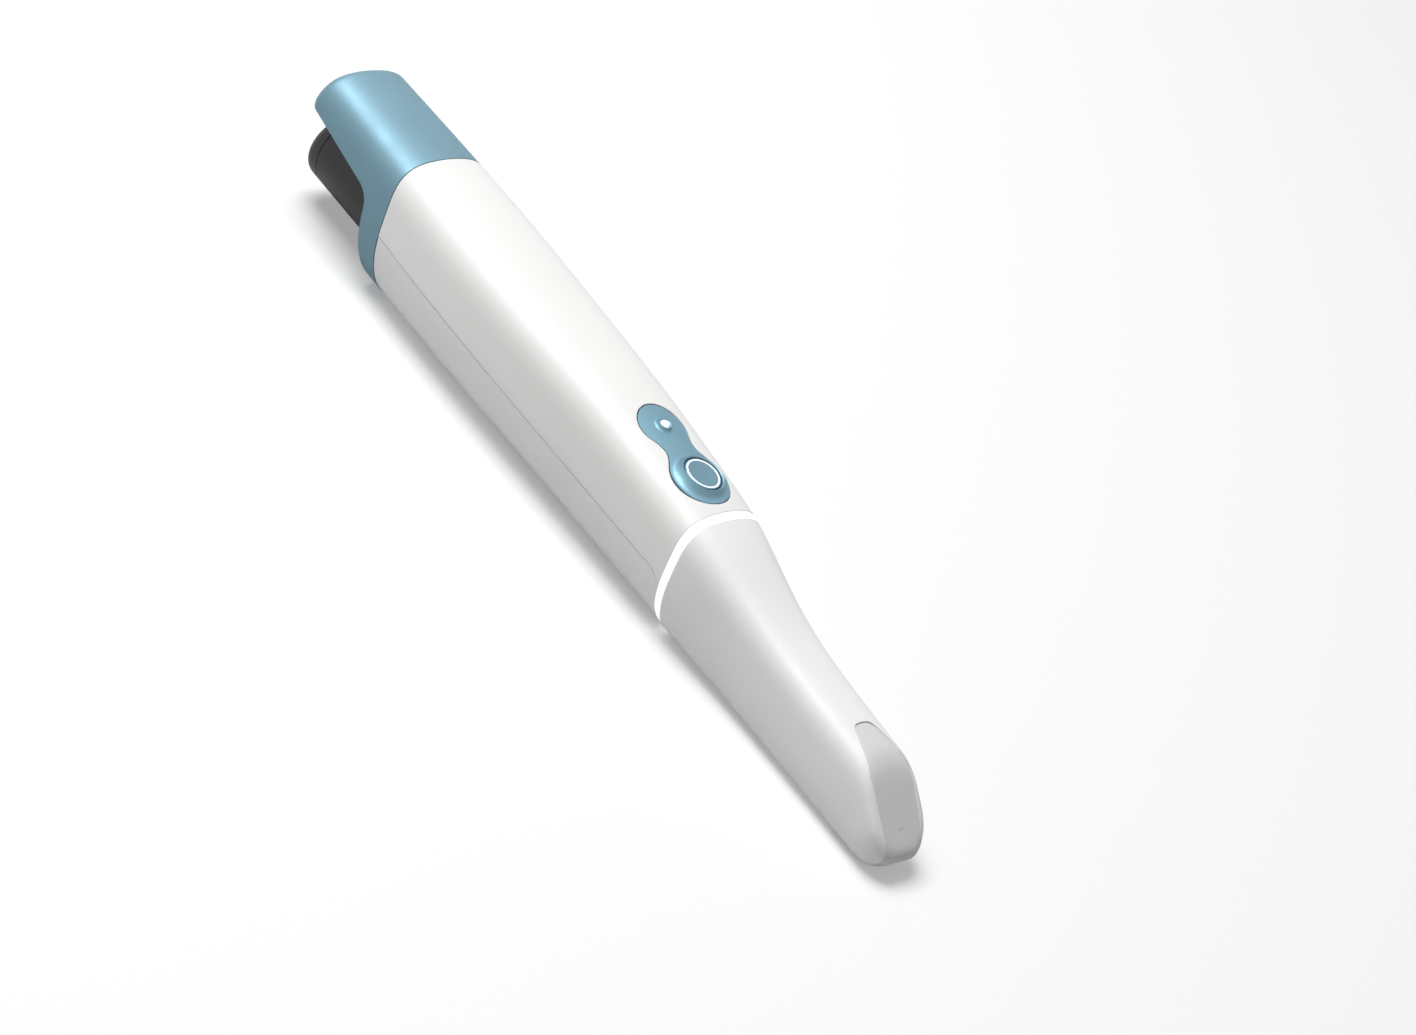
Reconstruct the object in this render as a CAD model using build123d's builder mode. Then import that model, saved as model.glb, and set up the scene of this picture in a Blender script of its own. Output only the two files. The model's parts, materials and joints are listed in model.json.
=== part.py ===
from build123d import *
import math
import os

# An intraoral scanner at its real size, in millimetres.
# It lies on its underside: +X runs to the tip, +Z to the button side, z = 0 is the surface it rests on.
# The origin is the bottom centre of its bounding box.

# Driving dimensions
TOTAL_LENGTH = 274.0
REAR_END = -TOTAL_LENGTH / 2
TIP_END = TOTAL_LENGTH / 2
FLAT_DEPTH = 0.3
SIDE_TAPER = 0.05
SECTION_STEPS = 40
HALF_SPAN = 30.0
SKY = 60.0
DEEP = -5.0
BEYOND = 20.0

# The plate's slope runs from the middle section to the one at this place
PLATE_STATION = 22.0

# Cross-sections of the body: x, half width, height, height of the widest place
BODY_STATIONS = [
    (REAR_END - 3.0, 16.1, 41.8, 21.9),
    (REAR_END + 27.0, 17.3, 41.9, 21.9),
    (REAR_END + 62.0, 18.7, 41.4, 21.6),
    (-35.0, 18.4, 40.3, 21.1),
    (0.0, 17.1, 39.1, 20.4),
    (22.0, 16.3, 37.3, 19.5),
    (36.0, 15.8, 35.8, 18.7),
    (46.0, 15.3, 34.3, 17.9),
]
BODY_CORNER = 5.6
BODY_CROWN = 2.7
BODY_BELLY = 2.25

# Cross-sections of the tip: x, half width, height, height of the widest place, crown, belly
TIP_ROOT = 48.0
TIP_LENGTH = TIP_END - TIP_ROOT
TIP_STATIONS = [
    (28.0, 16.1, 36.8, 19.2, 2.7, 2.25),
    (38.0, 15.8, 35.6, 18.6, 2.7, 2.3),
    (TIP_ROOT, 14.5, 33.5, 17.4, 2.5, 2.5),
    (TIP_ROOT + 0.157 * TIP_LENGTH, 12.4, 30.0, 15.6, 2.0, 2.8),
    (TIP_ROOT + 0.326 * TIP_LENGTH, 11.0, 27.1, 14.1, 1.6, 3.1),
    (TIP_ROOT + 0.494 * TIP_LENGTH, 10.5, 25.6, 13.3, 1.4, 3.2),
    (TIP_ROOT + 0.764 * TIP_LENGTH, 10.4, 24.3, 12.6, 1.4, 3.3),
    (TIP_ROOT + 1.056 * TIP_LENGTH, 10.4, 22.7, 11.8, 1.4, 3.3),
]
TIP_CORNER = 5.0

# Seams: each lies in a plane that leans back toward the top, x = foot + lean * z
SEAM_FOOT = REAR_END + 49.4
SEAM_LEAN = -0.233
RING_FOOT = 42.5
RING_LEAN = -0.152
RING_WIDTH = 2.5
RING_RECESS = 0.1
SEAM_GAP = 0.2
PARTING_REAR_Z = 20.2
PARTING_FRONT = (31.0, 17.0)
PARTING_BEND = (37.0, 16.5)
PARTING_END_Z = 14.6
PARTING_GAP = 0.12
SEAT_GAP = 0.05
SLIDE_FIT = 0.02
SEAL_FIT = 0.08

# Walls
SHELL_WALL = 1.8
REAR_WALL = 2.2
LINER_GAP = 0.15
LINER_WALL = 1.6
TIP_WALL = 1.3

# Rear housing and its hood, seen from the side
HOOD_FOOT = REAR_END + 42.4
HOOD_CORNER = (REAR_END + 34.2, 26.0)
HOOD_LIP = (REAR_END + 3.0, 30.2)
HOOD_LIP_RISE = 33.0
HOOD_CORNER_RADIUS = 7.0
HOOD_LIP_RADIUS = 2.5
HOOD_END_RADIUS = 4.5
HOOD_PLAN_RADIUS = 6.0
HOOD_END_HALF = 16.4
HOOD_FRONT = REAR_END + 67.0
HOOD_INSET = 2.4
LINER_CLEARANCE = 0.6
ANTENNA_X = REAR_END + 20.0
ANTENNA_Z = 34.2
ANTENNA_THICKNESS = 1.2
ANTENNA_LENGTH = 21.0
ANTENNA_WIDTH = 14.0
RADIO_SIZE = 8.0
RADIO_SHIFT = 5.0
ANTENNA_POSTS = [(REAR_END + 28.0, 30.0), (REAR_END + 11.0, 32.3)]
ANTENNA_POST_Y = 5.5
ANTENNA_POST_RADIUS = 1.2

# Battery and its bay
BATTERY_RADIUS = 11.0
BATTERY_Z = 16.8
BATTERY_REAR = REAR_END + 2.4
BATTERY_FRONT = REAR_END + 76.5
BATTERY_SEAM_FOOT = REAR_END + 10.4
BATTERY_SEAM_GAP = 0.1
BATTERY_SEAM_LEAN = -0.15
BATTERY_EDGE = 3.2
BATTERY_CHAMFER = 0.8
BATTERY_WALL = 1.5
BATTERY_FLOOR = 1.6
BATTERY_CAP_FLOOR = 2.0
CAP_WALL_EXTRA = 0.8
CELL_RADIUS = 9.2
CELL_LENGTH = 65.0
CELL_PLAY = 0.4
CELL_EDGE = 0.6
CELL_PAD_RADIUS = 7.5
BAY_CLEARANCE = 0.35
BAY_WALL = 1.6
BAY_FLOOR = 2.0
BAY_FLANGE = 1.8
BAY_END_GAP = 0.3
SLEEVE_REACH = 2.0
SEAL_WIDTH = 1.6
SEAL_DEPTH = 12.0
SEAL_SEAT = 0.8
PIN_REACH = 1.9
BAY_BOARD = (18.0, 9.0, 1.2)
BULKHEAD_REAR = 1.6
BULKHEAD_FIT = 0.1
CONTACT_PITCH = 3.2
CONTACT_COUNT = 4
CONTACT_RADIUS = 1.0
CONTACT_WIDTH = 1.9
CONTACT_HEIGHT = 3.9
CONTACT_DEPTH = 0.5

# Control plate on the top
LIGHT_X = 6.8
BUTTON_X = 24.9
PLATE_THICKNESS = 1.6
PLATE_GAP = 0.25
PLATE_INSET = 0.15
GASKET_OUTSIDE = 1.0
GASKET_INSIDE = 1.2
GASKET_THICKNESS = 0.8
LIGHT_LOBE = 7.6
BUTTON_LOBE = 9.1
NECK_HALF = 5.3
NECK_SHARE = 0.46
PLATE_COLUMN = 8.0
LIGHT_TANGENT = (0.45, 0.89)
BUTTON_TANGENT = (0.55, 0.835)
BUTTON_RADIUS = 5.5
BUTTON_GAP = 0.3
BUTTON_TOP = 1.1
BUTTON_TRAVEL = 0.6
GLOW_OUTER = 5.05
GLOW_INNER = 4.55
RIM_CREST = 1.35
RIM_FOOT = -1.0
CRATER_FOOT = -0.2
RIM_ROOT = -1.4
LIP_FALL = 0.35
SHOULDER_SHARE = 0.3
SHOULDER_FALL = 0.2
WAIST_OUT = 0.35
WAIST_DOWN = 0.6
LENS_RADIUS = 1.25
LENS_GAP = 0.1

# Tip end
FACE_TOP = (TIP_END - 18.4, 22.4)
FACE_FOOT = (TIP_END - 1.5, 9.1)
FACE_EDGE_RADIUS = 2.6
TOE_RADIUS = 6.0
TIP_PLAN_RADIUS = 8.5
TIP_PLAN_EASE = 0.6
TIP_GAP = 0.1
CAP_TONGUE = [
    (TIP_END - 32.6, 0.0),
    (TIP_END - 29.2, 4.0),
    (TIP_END - 24.7, 5.7),
    (TIP_END - 18.4, 7.6),
]
TONGUE_FLARE = 0.1
CAP_FOOT_HALF = 6.2
CAP_RECESS = 0.35
CAP_GAP = 0.1
CAP_WALL = 1.5
CAP_LIP_Z = 2.6
CAP_SKIRT_Z = 9.0
VENT_Z = 6.2
VENT_RADIUS = 0.7
MIRROR_THICKNESS = 1.1
MIRROR_LENGTH = 17.0
MIRROR_WIDTH = 13.0
MIRROR_CORNER = 1.0
WINDOW_REAR = TIP_END - 20.5
WINDOW_FRONT = TIP_END - 6.5
WINDOW_CORNER = 2.0
WINDOW_HALF = 7.0

# Optics
AXIS_Z = 13.0
SPLITTER_SIZE = 11.0
SPLITTER_CHAMFER = 0.3
HOLDER_FLOOR = 1.0
HOLDER_LIP = 3.0
HOLDER_WALL = 1.5
NOSE_RADIUS = 7.2
NOSE_BORE = 6.0
NOSE_END = 88.0
WINDOW_SEAT = 2.6
SEAT_STEP = 0.6
SEAL_THICKNESS = 0.6
SEAL_OVERLAP = 0.3
COLLAR_LENGTH = 12.0
COLLAR_FIT = 0.3
COLLAR_INSIDE = 3.7
HOLLOW_REACH = 5.0
FLANGE_LENGTH = 1.5
FRAME_FRONT = 28.0
FRAME_MIDDLE = -4.0
FRAME_PLATE = 2.5
FRAME_BASE = 2.0
FRAME_FOOT_HALF = 8.5
POST_PLACES = [(-50.0, 10.5), (-50.0, -10.5), (-5.0, 11.2), (-5.0, -11.2)]
POST_RADIUS = 2.0
BOSS_PLACES = [(-45.5, 4.5), (-45.5, -4.5), (-27.0, 4.5), (-27.0, -4.5)]
BOSS_RADIUS = 2.6
BOSS_START = 1.3
SCREW_RADIUS = 0.8
FRAME_HALF = 13.4
FRAME_TOP = 25.0
FRAME_FLOOR = AXIS_Z - SPLITTER_SIZE / 2 - HOLDER_FLOOR - FRAME_BASE
FRAME_REAR = -54.0
ROD_RADIUS = 1.0
ROD_Y = 10.6
ROD_FIT = 0.05
BOARD_Z = 27.0
BOARD_THICKNESS = 1.4
BOARD_FRONT = -1.5

os.makedirs("parts", exist_ok=True)


def write(part, name):
    """Label one finished piece and write it to its own file."""
    part.label = name
    export_step(part, "parts/" + name + ".step")


# Lofted forms that several pieces share

def section_outline(half_width, height, widest, corner, crown, belly, inset):
    """Points round one cross-section: a near-round belly, upright sides and a crowned top.

    Above and below its widest place the outline is a superellipse. The crown lowers the top
    by a share that grows with the square of the distance from the middle.
    """
    points = []
    for step in range(SECTION_STEPS):
        angle = 2 * math.pi * step / SECTION_STEPS - math.pi / 2
        upper = math.sin(angle) >= 0
        power = 2 / (corner if upper else belly)
        rise = abs(math.sin(angle)) ** power
        reach = math.copysign(abs(math.cos(angle)) ** power, math.cos(angle))
        if upper:
            y = (half_width - inset) * reach * (1 - SIDE_TAPER * rise)
            z = widest + (height - inset - widest - crown * reach ** 2) * rise
        else:
            y = (half_width - inset) * reach
            z = widest - (widest + FLAT_DEPTH - inset) * rise
        points.append(Vector(y, z))
    return points


def chord_shares(points):
    """How far along the closed outline each point lies, from 0 to 1, ending back at the start."""
    chords = [(b - a).length for a, b in zip(points, points[1:] + points[:1])]
    return [sum(chords[:count]) / sum(chords) for count in range(len(points) + 1)]


def lofted_form(stations, inset):
    """Smooth solid through a row of cross-sections, each drawn smaller by the inset.

    All of its outlines share the spacing of the middle one, which keeps the surface light.
    """
    shares = chord_shares(section_outline(*stations[len(stations) // 2][1:], inset))
    with BuildPart() as form:
        for x, *numbers in stations:
            outline = section_outline(*numbers, inset)
            with BuildSketch(Plane.YZ.offset(x)):
                with BuildLine():
                    add(Edge.make_spline(outline, periodic=True, parameters=shares))
                make_face()
        loft()
        split(bisect_by=Plane.XY, keep=Keep.TOP)
    return form.part


def body_form(inset):
    stations = [(x, w, h, m, BODY_CORNER, BODY_CROWN, BODY_BELLY) for x, w, h, m in BODY_STATIONS]
    return lofted_form(stations, inset)


def tip_form(inset):
    stations = [(x, w, h, m, TIP_CORNER, crown, belly) for x, w, h, m, crown, belly in TIP_STATIONS]
    return lofted_form(stations, inset)


def seam_x(z, shift=0.0):
    return SEAM_FOOT + SEAM_LEAN * z + shift


def ring_x(z, shift=0.0):
    return RING_FOOT + RING_LEAN * z + shift


def side_prism(*points):
    """Solid as wide as the scanner, from an outline drawn in side view."""
    with BuildPart() as prism:
        with BuildSketch(Plane.XZ):
            with BuildLine():
                Polyline(*points, close=True)
            make_face()
        extrude(amount=HALF_SPAN, both=True)
    return prism.part


def front_of_ring(shift):
    far = TIP_END + BEYOND
    return side_prism((ring_x(DEEP, shift), DEEP), (far, DEEP), (far, SKY), (ring_x(SKY, shift), SKY))


def shell_region(upper):
    """Side view of the upper or the lower shell, between the rear seam and the light ring."""
    gap = PARTING_GAP / 2 if upper else -PARTING_GAP / 2
    far = SKY if upper else DEEP
    start = (seam_x(PARTING_REAR_Z, SEAM_GAP / 2), PARTING_REAR_Z + gap)
    front = (PARTING_FRONT[0], PARTING_FRONT[1] + gap)
    bend = (PARTING_BEND[0], PARTING_BEND[1] + gap)
    end = (ring_x(PARTING_END_Z, -SEAT_GAP), PARTING_END_Z + gap)
    with BuildPart() as prism:
        with BuildSketch(Plane.XZ):
            with BuildLine():
                Line(start, front)
                ThreePointArc(front, bend, end)
                Polyline(end, (ring_x(far, -SEAT_GAP), far), (seam_x(far, SEAM_GAP / 2), far), start)
            make_face()
        extrude(amount=HALF_SPAN, both=True)
    return prism.part


BODY = body_form(0.0)
BODY_INSIDE = body_form(SHELL_WALL)
TIP = tip_form(0.0)
TIP_INSIDE = tip_form(TIP_WALL)

top_of = {x: h for x, w, h, m in BODY_STATIONS}
plate_slope = math.atan2(top_of[PLATE_STATION] - top_of[0.0], PLATE_STATION)
LIGHT_Z = top_of[0.0] + math.tan(plate_slope) * LIGHT_X
PLATE_PLANE = Plane(
    origin=(LIGHT_X, 0, LIGHT_Z),
    x_dir=(math.cos(plate_slope), 0, math.sin(plate_slope)),
    z_dir=(-math.sin(plate_slope), 0, math.cos(plate_slope)),
)
BUTTON_U = (BUTTON_X - LIGHT_X) / math.cos(plate_slope)


def body_slab(foot, lean, shift, thickness, inset_form):
    """Slice of a form between two leaning planes, one behind the other."""
    slab = side_prism(
        (foot + lean * DEEP + shift, DEEP),
        (foot + lean * DEEP + shift + thickness, DEEP),
        (foot + lean * SKY + shift + thickness, SKY),
        (foot + lean * SKY + shift, SKY),
    )
    return inset_form & slab


# Housing shells

def plate_outline(grow):
    """Draw the control plate's outline: two round lobes joined by a narrow waist."""
    light = LIGHT_LOBE + grow
    button = BUTTON_LOBE + grow
    neck = NECK_HALF + grow
    light_u, light_v = light * LIGHT_TANGENT[0], light * LIGHT_TANGENT[1]
    button_u, button_v = BUTTON_U - button * BUTTON_TANGENT[0], button * BUTTON_TANGENT[1]
    with BuildSketch(PLATE_PLANE) as outline:
        Circle(light)
        with Locations((BUTTON_U, 0)):
            Circle(button)
        with BuildLine():
            for side in (1, -1):
                leaving = (LIGHT_TANGENT[1], -side * LIGHT_TANGENT[0])
                arriving = (BUTTON_TANGENT[1], side * BUTTON_TANGENT[0])
                Spline(
                    (light_u, side * light_v),
                    (BUTTON_U * NECK_SHARE, side * neck),
                    (button_u, side * button_v),
                    tangents=[leaving, arriving],
                )
            Line((light_u, light_v), (light_u, -light_v))
            Line((button_u, button_v), (button_u, -button_v))
        make_face()
    return outline.sketch


def plate_column(grow):
    """Column through the top wall with the control plate's outline."""
    with BuildPart() as column:
        extrude(plate_outline(grow), amount=PLATE_COLUMN, both=True)
    return column.part


with BuildPart() as upper_shell:
    add(BODY & shell_region(True))
    add(BODY_INSIDE, mode=Mode.SUBTRACT)
    add(plate_column(PLATE_GAP), mode=Mode.SUBTRACT)

with BuildPart() as lower_shell:
    add(body_form(PARTING_GAP) & shell_region(False))
    add(BODY_INSIDE, mode=Mode.SUBTRACT)
    with BuildSketch(Plane.XY.offset(BOSS_START)):
        with Locations(*BOSS_PLACES):
            Circle(BOSS_RADIUS)
    extrude(amount=FRAME_FLOOR - BOSS_START)
    with BuildSketch(Plane.XY.offset(BOSS_START)):
        with Locations(*BOSS_PLACES):
            Circle(SCREW_RADIUS)
    extrude(amount=FRAME_FLOOR, mode=Mode.SUBTRACT)


# Rear housing: a ring round the body whose upper half runs back as a hood

def hood_region(inset):
    """Side view of the rear housing, drawn smaller by the inset for what lies inside it."""
    top = BODY_STATIONS[1][2]
    end = (REAR_END, top)
    with BuildPart() as prism:
        with BuildSketch(Plane.XZ) as side:
            with BuildLine():
                Polyline(
                    (seam_x(DEEP, -SEAM_GAP / 2), DEEP),
                    (HOOD_FOOT, DEEP),
                    (HOOD_FOOT, 0),
                    HOOD_CORNER,
                    HOOD_LIP,
                    (REAR_END, HOOD_LIP_RISE),
                    end,
                    (seam_x(top, -SEAM_GAP / 2), top),
                    close=True,
                )
            make_face()
            fillet(side.vertices().sort_by_distance(HOOD_CORNER)[0], HOOD_CORNER_RADIUS)
            fillet(side.vertices().sort_by_distance(HOOD_LIP)[0], HOOD_LIP_RADIUS)
            fillet(side.vertices().sort_by_distance(end)[0], HOOD_END_RADIUS)
            if inset > 0:
                offset(amount=-inset, mode=Mode.REPLACE)
        extrude(amount=HALF_SPAN, both=True)
    return prism.part


def hood_plan():
    """Top view of the rear housing: sides that open toward the front, with rounded rear corners."""
    with BuildPart() as prism:
        with BuildSketch(Plane.XY) as plan:
            with BuildLine():
                Polyline(
                    (REAR_END, HOOD_END_HALF),
                    (HOOD_FRONT, HALF_SPAN),
                    (HOOD_FRONT, -HALF_SPAN),
                    (REAR_END, -HOOD_END_HALF),
                    close=True,
                )
            make_face()
            fillet(plan.vertices().group_by(Axis.X)[0], HOOD_PLAN_RADIUS)
        extrude(amount=SKY)
    return prism.part


with BuildPart() as rear_housing:
    add(BODY & hood_region(0.0) & hood_plan())
    add(body_form(REAR_WALL), mode=Mode.SUBTRACT)


# Hood liner: closes the hood from below and holds the antenna

BULKHEAD_LEAN = (HOOD_CORNER[0] - HOOD_FOOT) / HOOD_CORNER[1]


def hood_filling(inset):
    """What fits inside the hood behind the bulkhead, drawn smaller by the inset."""
    behind = side_prism(
        (HOOD_FOOT + DEEP * BULKHEAD_LEAN + BULKHEAD_REAR, DEEP),
        (HOOD_FOOT + SKY * BULKHEAD_LEAN + BULKHEAD_REAR, SKY),
        (REAR_END - BEYOND, SKY),
        (REAR_END - BEYOND, DEEP),
    )
    return body_form(REAR_WALL + LINER_GAP + inset) & hood_region(HOOD_INSET + inset) & behind


battery_axis = Plane(origin=(BATTERY_REAR, 0, BATTERY_Z), x_dir=(0, 1, 0), z_dir=(1, 0, 0))
BATTERY_LENGTH = BATTERY_FRONT - BATTERY_REAR

with BuildPart() as hood_liner:
    add(hood_filling(0.0))
    add(hood_filling(LINER_WALL), mode=Mode.SUBTRACT)
    with BuildSketch(battery_axis):
        Circle(BATTERY_RADIUS + LINER_CLEARANCE)
    extrude(amount=BATTERY_LENGTH, mode=Mode.SUBTRACT)
    for post_x, foot in ANTENNA_POSTS:
        with BuildSketch(Plane.XY.offset(foot)):
            with Locations((post_x, ANTENNA_POST_Y), (post_x, -ANTENNA_POST_Y)):
                Circle(ANTENNA_POST_RADIUS)
        extrude(amount=ANTENNA_Z - foot)

with BuildPart() as antenna_board:
    with Locations((ANTENNA_X, 0, ANTENNA_Z)):
        Box(ANTENNA_LENGTH, ANTENNA_WIDTH, ANTENNA_THICKNESS, align=(Align.CENTER, Align.CENTER, Align.MIN))
    with Locations((ANTENNA_X + RADIO_SHIFT, 0, ANTENNA_Z + ANTENNA_THICKNESS)):
        Box(RADIO_SIZE, RADIO_SIZE, ANTENNA_THICKNESS, align=(Align.CENTER, Align.CENTER, Align.MIN))


# Battery: a round case, its end cap, the cell inside and the contacts on its front

def seam_prism(foot, lean, shift, far):
    """Everything between a leaning seam plane and a far end."""
    return side_prism(
        (foot + DEEP * lean + shift, DEEP), (foot + SKY * lean + shift, SKY), (far, SKY), (far, DEEP)
    )


CONTACT_ROW = [((i - (CONTACT_COUNT - 1) / 2) * CONTACT_PITCH, 0) for i in range(CONTACT_COUNT)]

with BuildPart() as battery_form:
    with BuildSketch(battery_axis):
        Circle(BATTERY_RADIUS)
    extrude(amount=BATTERY_LENGTH)
    fillet(battery_form.edges().sort_by(Axis.X)[0], BATTERY_EDGE)
    chamfer(battery_form.edges().sort_by(Axis.X)[-1], BATTERY_CHAMFER)

with BuildPart() as battery_case:
    add(battery_form.part & seam_prism(BATTERY_SEAM_FOOT, BATTERY_SEAM_LEAN, BATTERY_SEAM_GAP / 2, 0))
    with BuildSketch(battery_axis):
        Circle(BATTERY_RADIUS - BATTERY_WALL)
    extrude(amount=BATTERY_LENGTH - BATTERY_FLOOR, mode=Mode.SUBTRACT)
    with BuildSketch(battery_axis.offset(BATTERY_LENGTH - CONTACT_DEPTH)):
        with Locations(*CONTACT_ROW):
            Rectangle(CONTACT_WIDTH + 2 * SEAT_GAP, CONTACT_HEIGHT + 2 * SEAT_GAP)
    extrude(amount=2 * CONTACT_DEPTH, mode=Mode.SUBTRACT)

with BuildPart() as battery_cap:
    rear_of_seam = seam_prism(
        BATTERY_SEAM_FOOT, BATTERY_SEAM_LEAN, -BATTERY_SEAM_GAP / 2, BATTERY_REAR - BEYOND
    )
    add(battery_form.part & rear_of_seam)
    with BuildSketch(battery_axis.offset(BATTERY_CAP_FLOOR)):
        Circle(BATTERY_RADIUS - BATTERY_WALL - CAP_WALL_EXTRA)
    extrude(amount=BATTERY_LENGTH, mode=Mode.SUBTRACT)

CELL_START = BATTERY_LENGTH - BATTERY_FLOOR - CELL_LENGTH - CELL_PLAY
with BuildPart() as battery_cell:
    with BuildSketch(battery_axis.offset(CELL_START)):
        Circle(CELL_RADIUS)
    extrude(amount=CELL_LENGTH)
    fillet(battery_cell.edges().filter_by(GeomType.CIRCLE), CELL_EDGE)

with BuildPart() as cell_pad:
    with BuildSketch(battery_axis.offset(BATTERY_CAP_FLOOR + SEAT_GAP)):
        Circle(CELL_PAD_RADIUS)
    extrude(amount=CELL_START - BATTERY_CAP_FLOOR - 2 * SEAT_GAP)

with BuildPart() as battery_contacts:
    with BuildSketch(battery_axis.offset(BATTERY_LENGTH - CONTACT_DEPTH)):
        with Locations(*CONTACT_ROW):
            Rectangle(CONTACT_WIDTH, CONTACT_HEIGHT)
    extrude(amount=CONTACT_DEPTH)


# Battery bay: a bulkhead across the rear housing with a sleeve for the battery

BAY_INNER = BATTERY_RADIUS + BAY_CLEARANCE
BAY_OUTER = BAY_INNER + BAY_WALL
BAY_LENGTH = BATTERY_LENGTH + BAY_END_GAP
SLEEVE_START = HOOD_CORNER[0] - BATTERY_REAR - SLEEVE_REACH
SEAL_START = HOOD_CORNER[0] - BATTERY_REAR + SEAL_DEPTH
with BuildPart() as battery_bay:
    with BuildSketch(battery_axis.offset(SLEEVE_START)):
        Circle(BAY_OUTER)
    extrude(amount=BAY_LENGTH + BAY_FLOOR - SLEEVE_START)
    bulkhead_start = BULKHEAD_REAR + BULKHEAD_FIT
    add(seam_prism(HOOD_FOOT, BULKHEAD_LEAN, bulkhead_start, 0), mode=Mode.INTERSECT)
    inside = body_form(REAR_WALL + BULKHEAD_FIT)
    add(body_slab(HOOD_FOOT, BULKHEAD_LEAN, bulkhead_start, BAY_FLANGE, inside))
    with BuildSketch(battery_axis):
        Circle(BAY_INNER)
    extrude(amount=BAY_LENGTH, mode=Mode.SUBTRACT)
    with BuildSketch(battery_axis.offset(SEAL_START)):
        Circle(BAY_INNER + SEAL_SEAT)
    extrude(amount=SEAL_WIDTH, mode=Mode.SUBTRACT)
    with BuildSketch(battery_axis.offset(BATTERY_LENGTH)):
        with Locations(*CONTACT_ROW):
            Circle(CONTACT_RADIUS + SEAT_GAP)
    extrude(amount=2 * BAY_FLOOR, mode=Mode.SUBTRACT)

with BuildPart() as bay_seal:
    with BuildSketch(battery_axis.offset(SEAL_START + SEAT_GAP)):
        Circle(BAY_INNER + SEAL_SEAT - SLIDE_FIT)
        Circle(BATTERY_RADIUS + SEAL_FIT, mode=Mode.SUBTRACT)
    extrude(amount=SEAL_WIDTH - 2 * SEAT_GAP)

with BuildPart() as contact_pins:
    with BuildSketch(battery_axis.offset(BATTERY_LENGTH)):
        with Locations(*CONTACT_ROW):
            Circle(CONTACT_RADIUS)
    extrude(amount=BAY_FLOOR + PIN_REACH)

with BuildPart() as bay_board:
    with BuildSketch(battery_axis.offset(BAY_LENGTH + BAY_FLOOR)):
        Rectangle(BAY_BOARD[0], BAY_BOARD[1])
        with Locations(*CONTACT_ROW):
            Circle(CONTACT_RADIUS + SEAT_GAP, mode=Mode.SUBTRACT)
    extrude(amount=BAY_BOARD[2])


# Light ring between the housing and the tip

with BuildPart() as light_ring:
    add(body_slab(RING_FOOT, RING_LEAN, 0.0, RING_WIDTH, body_form(RING_RECESS)))
    add(body_form(SHELL_WALL), mode=Mode.SUBTRACT)


# Tip: a sleeve with a scanning window below its end, closed by an inset cap that holds the mirror

face_fall = (FACE_TOP[1] - FACE_FOOT[1]) / (FACE_FOOT[0] - FACE_TOP[0])


def tip_end_region(inset):
    """Side view of the tip: sloping end face above a rounded toe, drawn smaller by the inset."""
    with BuildPart() as prism:
        with BuildSketch(Plane.XZ) as side:
            with BuildLine():
                Polyline(
                    (0, DEEP),
                    (TIP_STATIONS[5][0], DEEP),
                    (TIP_STATIONS[5][0], 0),
                    (TIP_END, 0),
                    (TIP_END, FACE_FOOT[1] - (TIP_END - FACE_FOOT[0]) * face_fall),
                    (FACE_TOP[0] - (SKY - FACE_TOP[1]) / face_fall, SKY),
                    (0, SKY),
                    close=True,
                )
            make_face()
            front = side.vertices().group_by(Axis.X)[-1].sort_by(Axis.Y)
            fillet(front[0], TOE_RADIUS)
            fillet(front[1], FACE_EDGE_RADIUS)
            if inset > 0:
                offset(amount=-inset, mode=Mode.REPLACE)
        extrude(amount=HALF_SPAN, both=True)
    return prism.part


def tip_plan(inset):
    """Top view of the tip: rounded at the front, open toward the rear."""
    half = TIP_STATIONS[-1][1]
    with BuildPart() as prism:
        with BuildSketch(Plane.XY) as plan:
            with BuildLine():
                Polyline(
                    (0, -HALF_SPAN),
                    (0, HALF_SPAN),
                    (TIP_STATIONS[4][0], HALF_SPAN),
                    (TIP_STATIONS[6][0], half + TIP_PLAN_EASE),
                    (TIP_END, half),
                    (TIP_END, -half),
                    (TIP_STATIONS[6][0], -half - TIP_PLAN_EASE),
                    (TIP_STATIONS[4][0], -HALF_SPAN),
                    close=True,
                )
            make_face()
            fillet(plan.vertices().group_by(Axis.X)[-1], TIP_PLAN_RADIUS)
            if inset > 0:
                offset(amount=-inset, mode=Mode.REPLACE)
        extrude(amount=SKY)
    return prism.part


def cap_column(grow):
    """Column with the cap's outline from above: a tongue that widens into the end face."""
    side = [(x, y + grow) for x, y in CAP_TONGUE[1:]]
    tongue = [*reversed(side), (CAP_TONGUE[0][0] - grow, 0), *[(x, -y) for x, y in side]]
    far = TIP_END + BEYOND
    with BuildPart() as column:
        with BuildSketch(Plane.XY.offset(CAP_LIP_Z - grow)):
            with BuildLine():
                Spline(*tongue, tangents=[(-1, -TONGUE_FLARE), (1, -TONGUE_FLARE)])
                Polyline(tongue[-1], (far, -CAP_FOOT_HALF - grow), (far, CAP_FOOT_HALF + grow), tongue[0])
            make_face()
        extrude(amount=SKY)
        with Locations((WINDOW_FRONT - grow, 0, CAP_SKIRT_Z - grow)):
            Box(SKY, 2 * HALF_SPAN, SKY, align=(Align.MAX, Align.CENTER, Align.MAX), mode=Mode.SUBTRACT)
    return column.part


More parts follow.
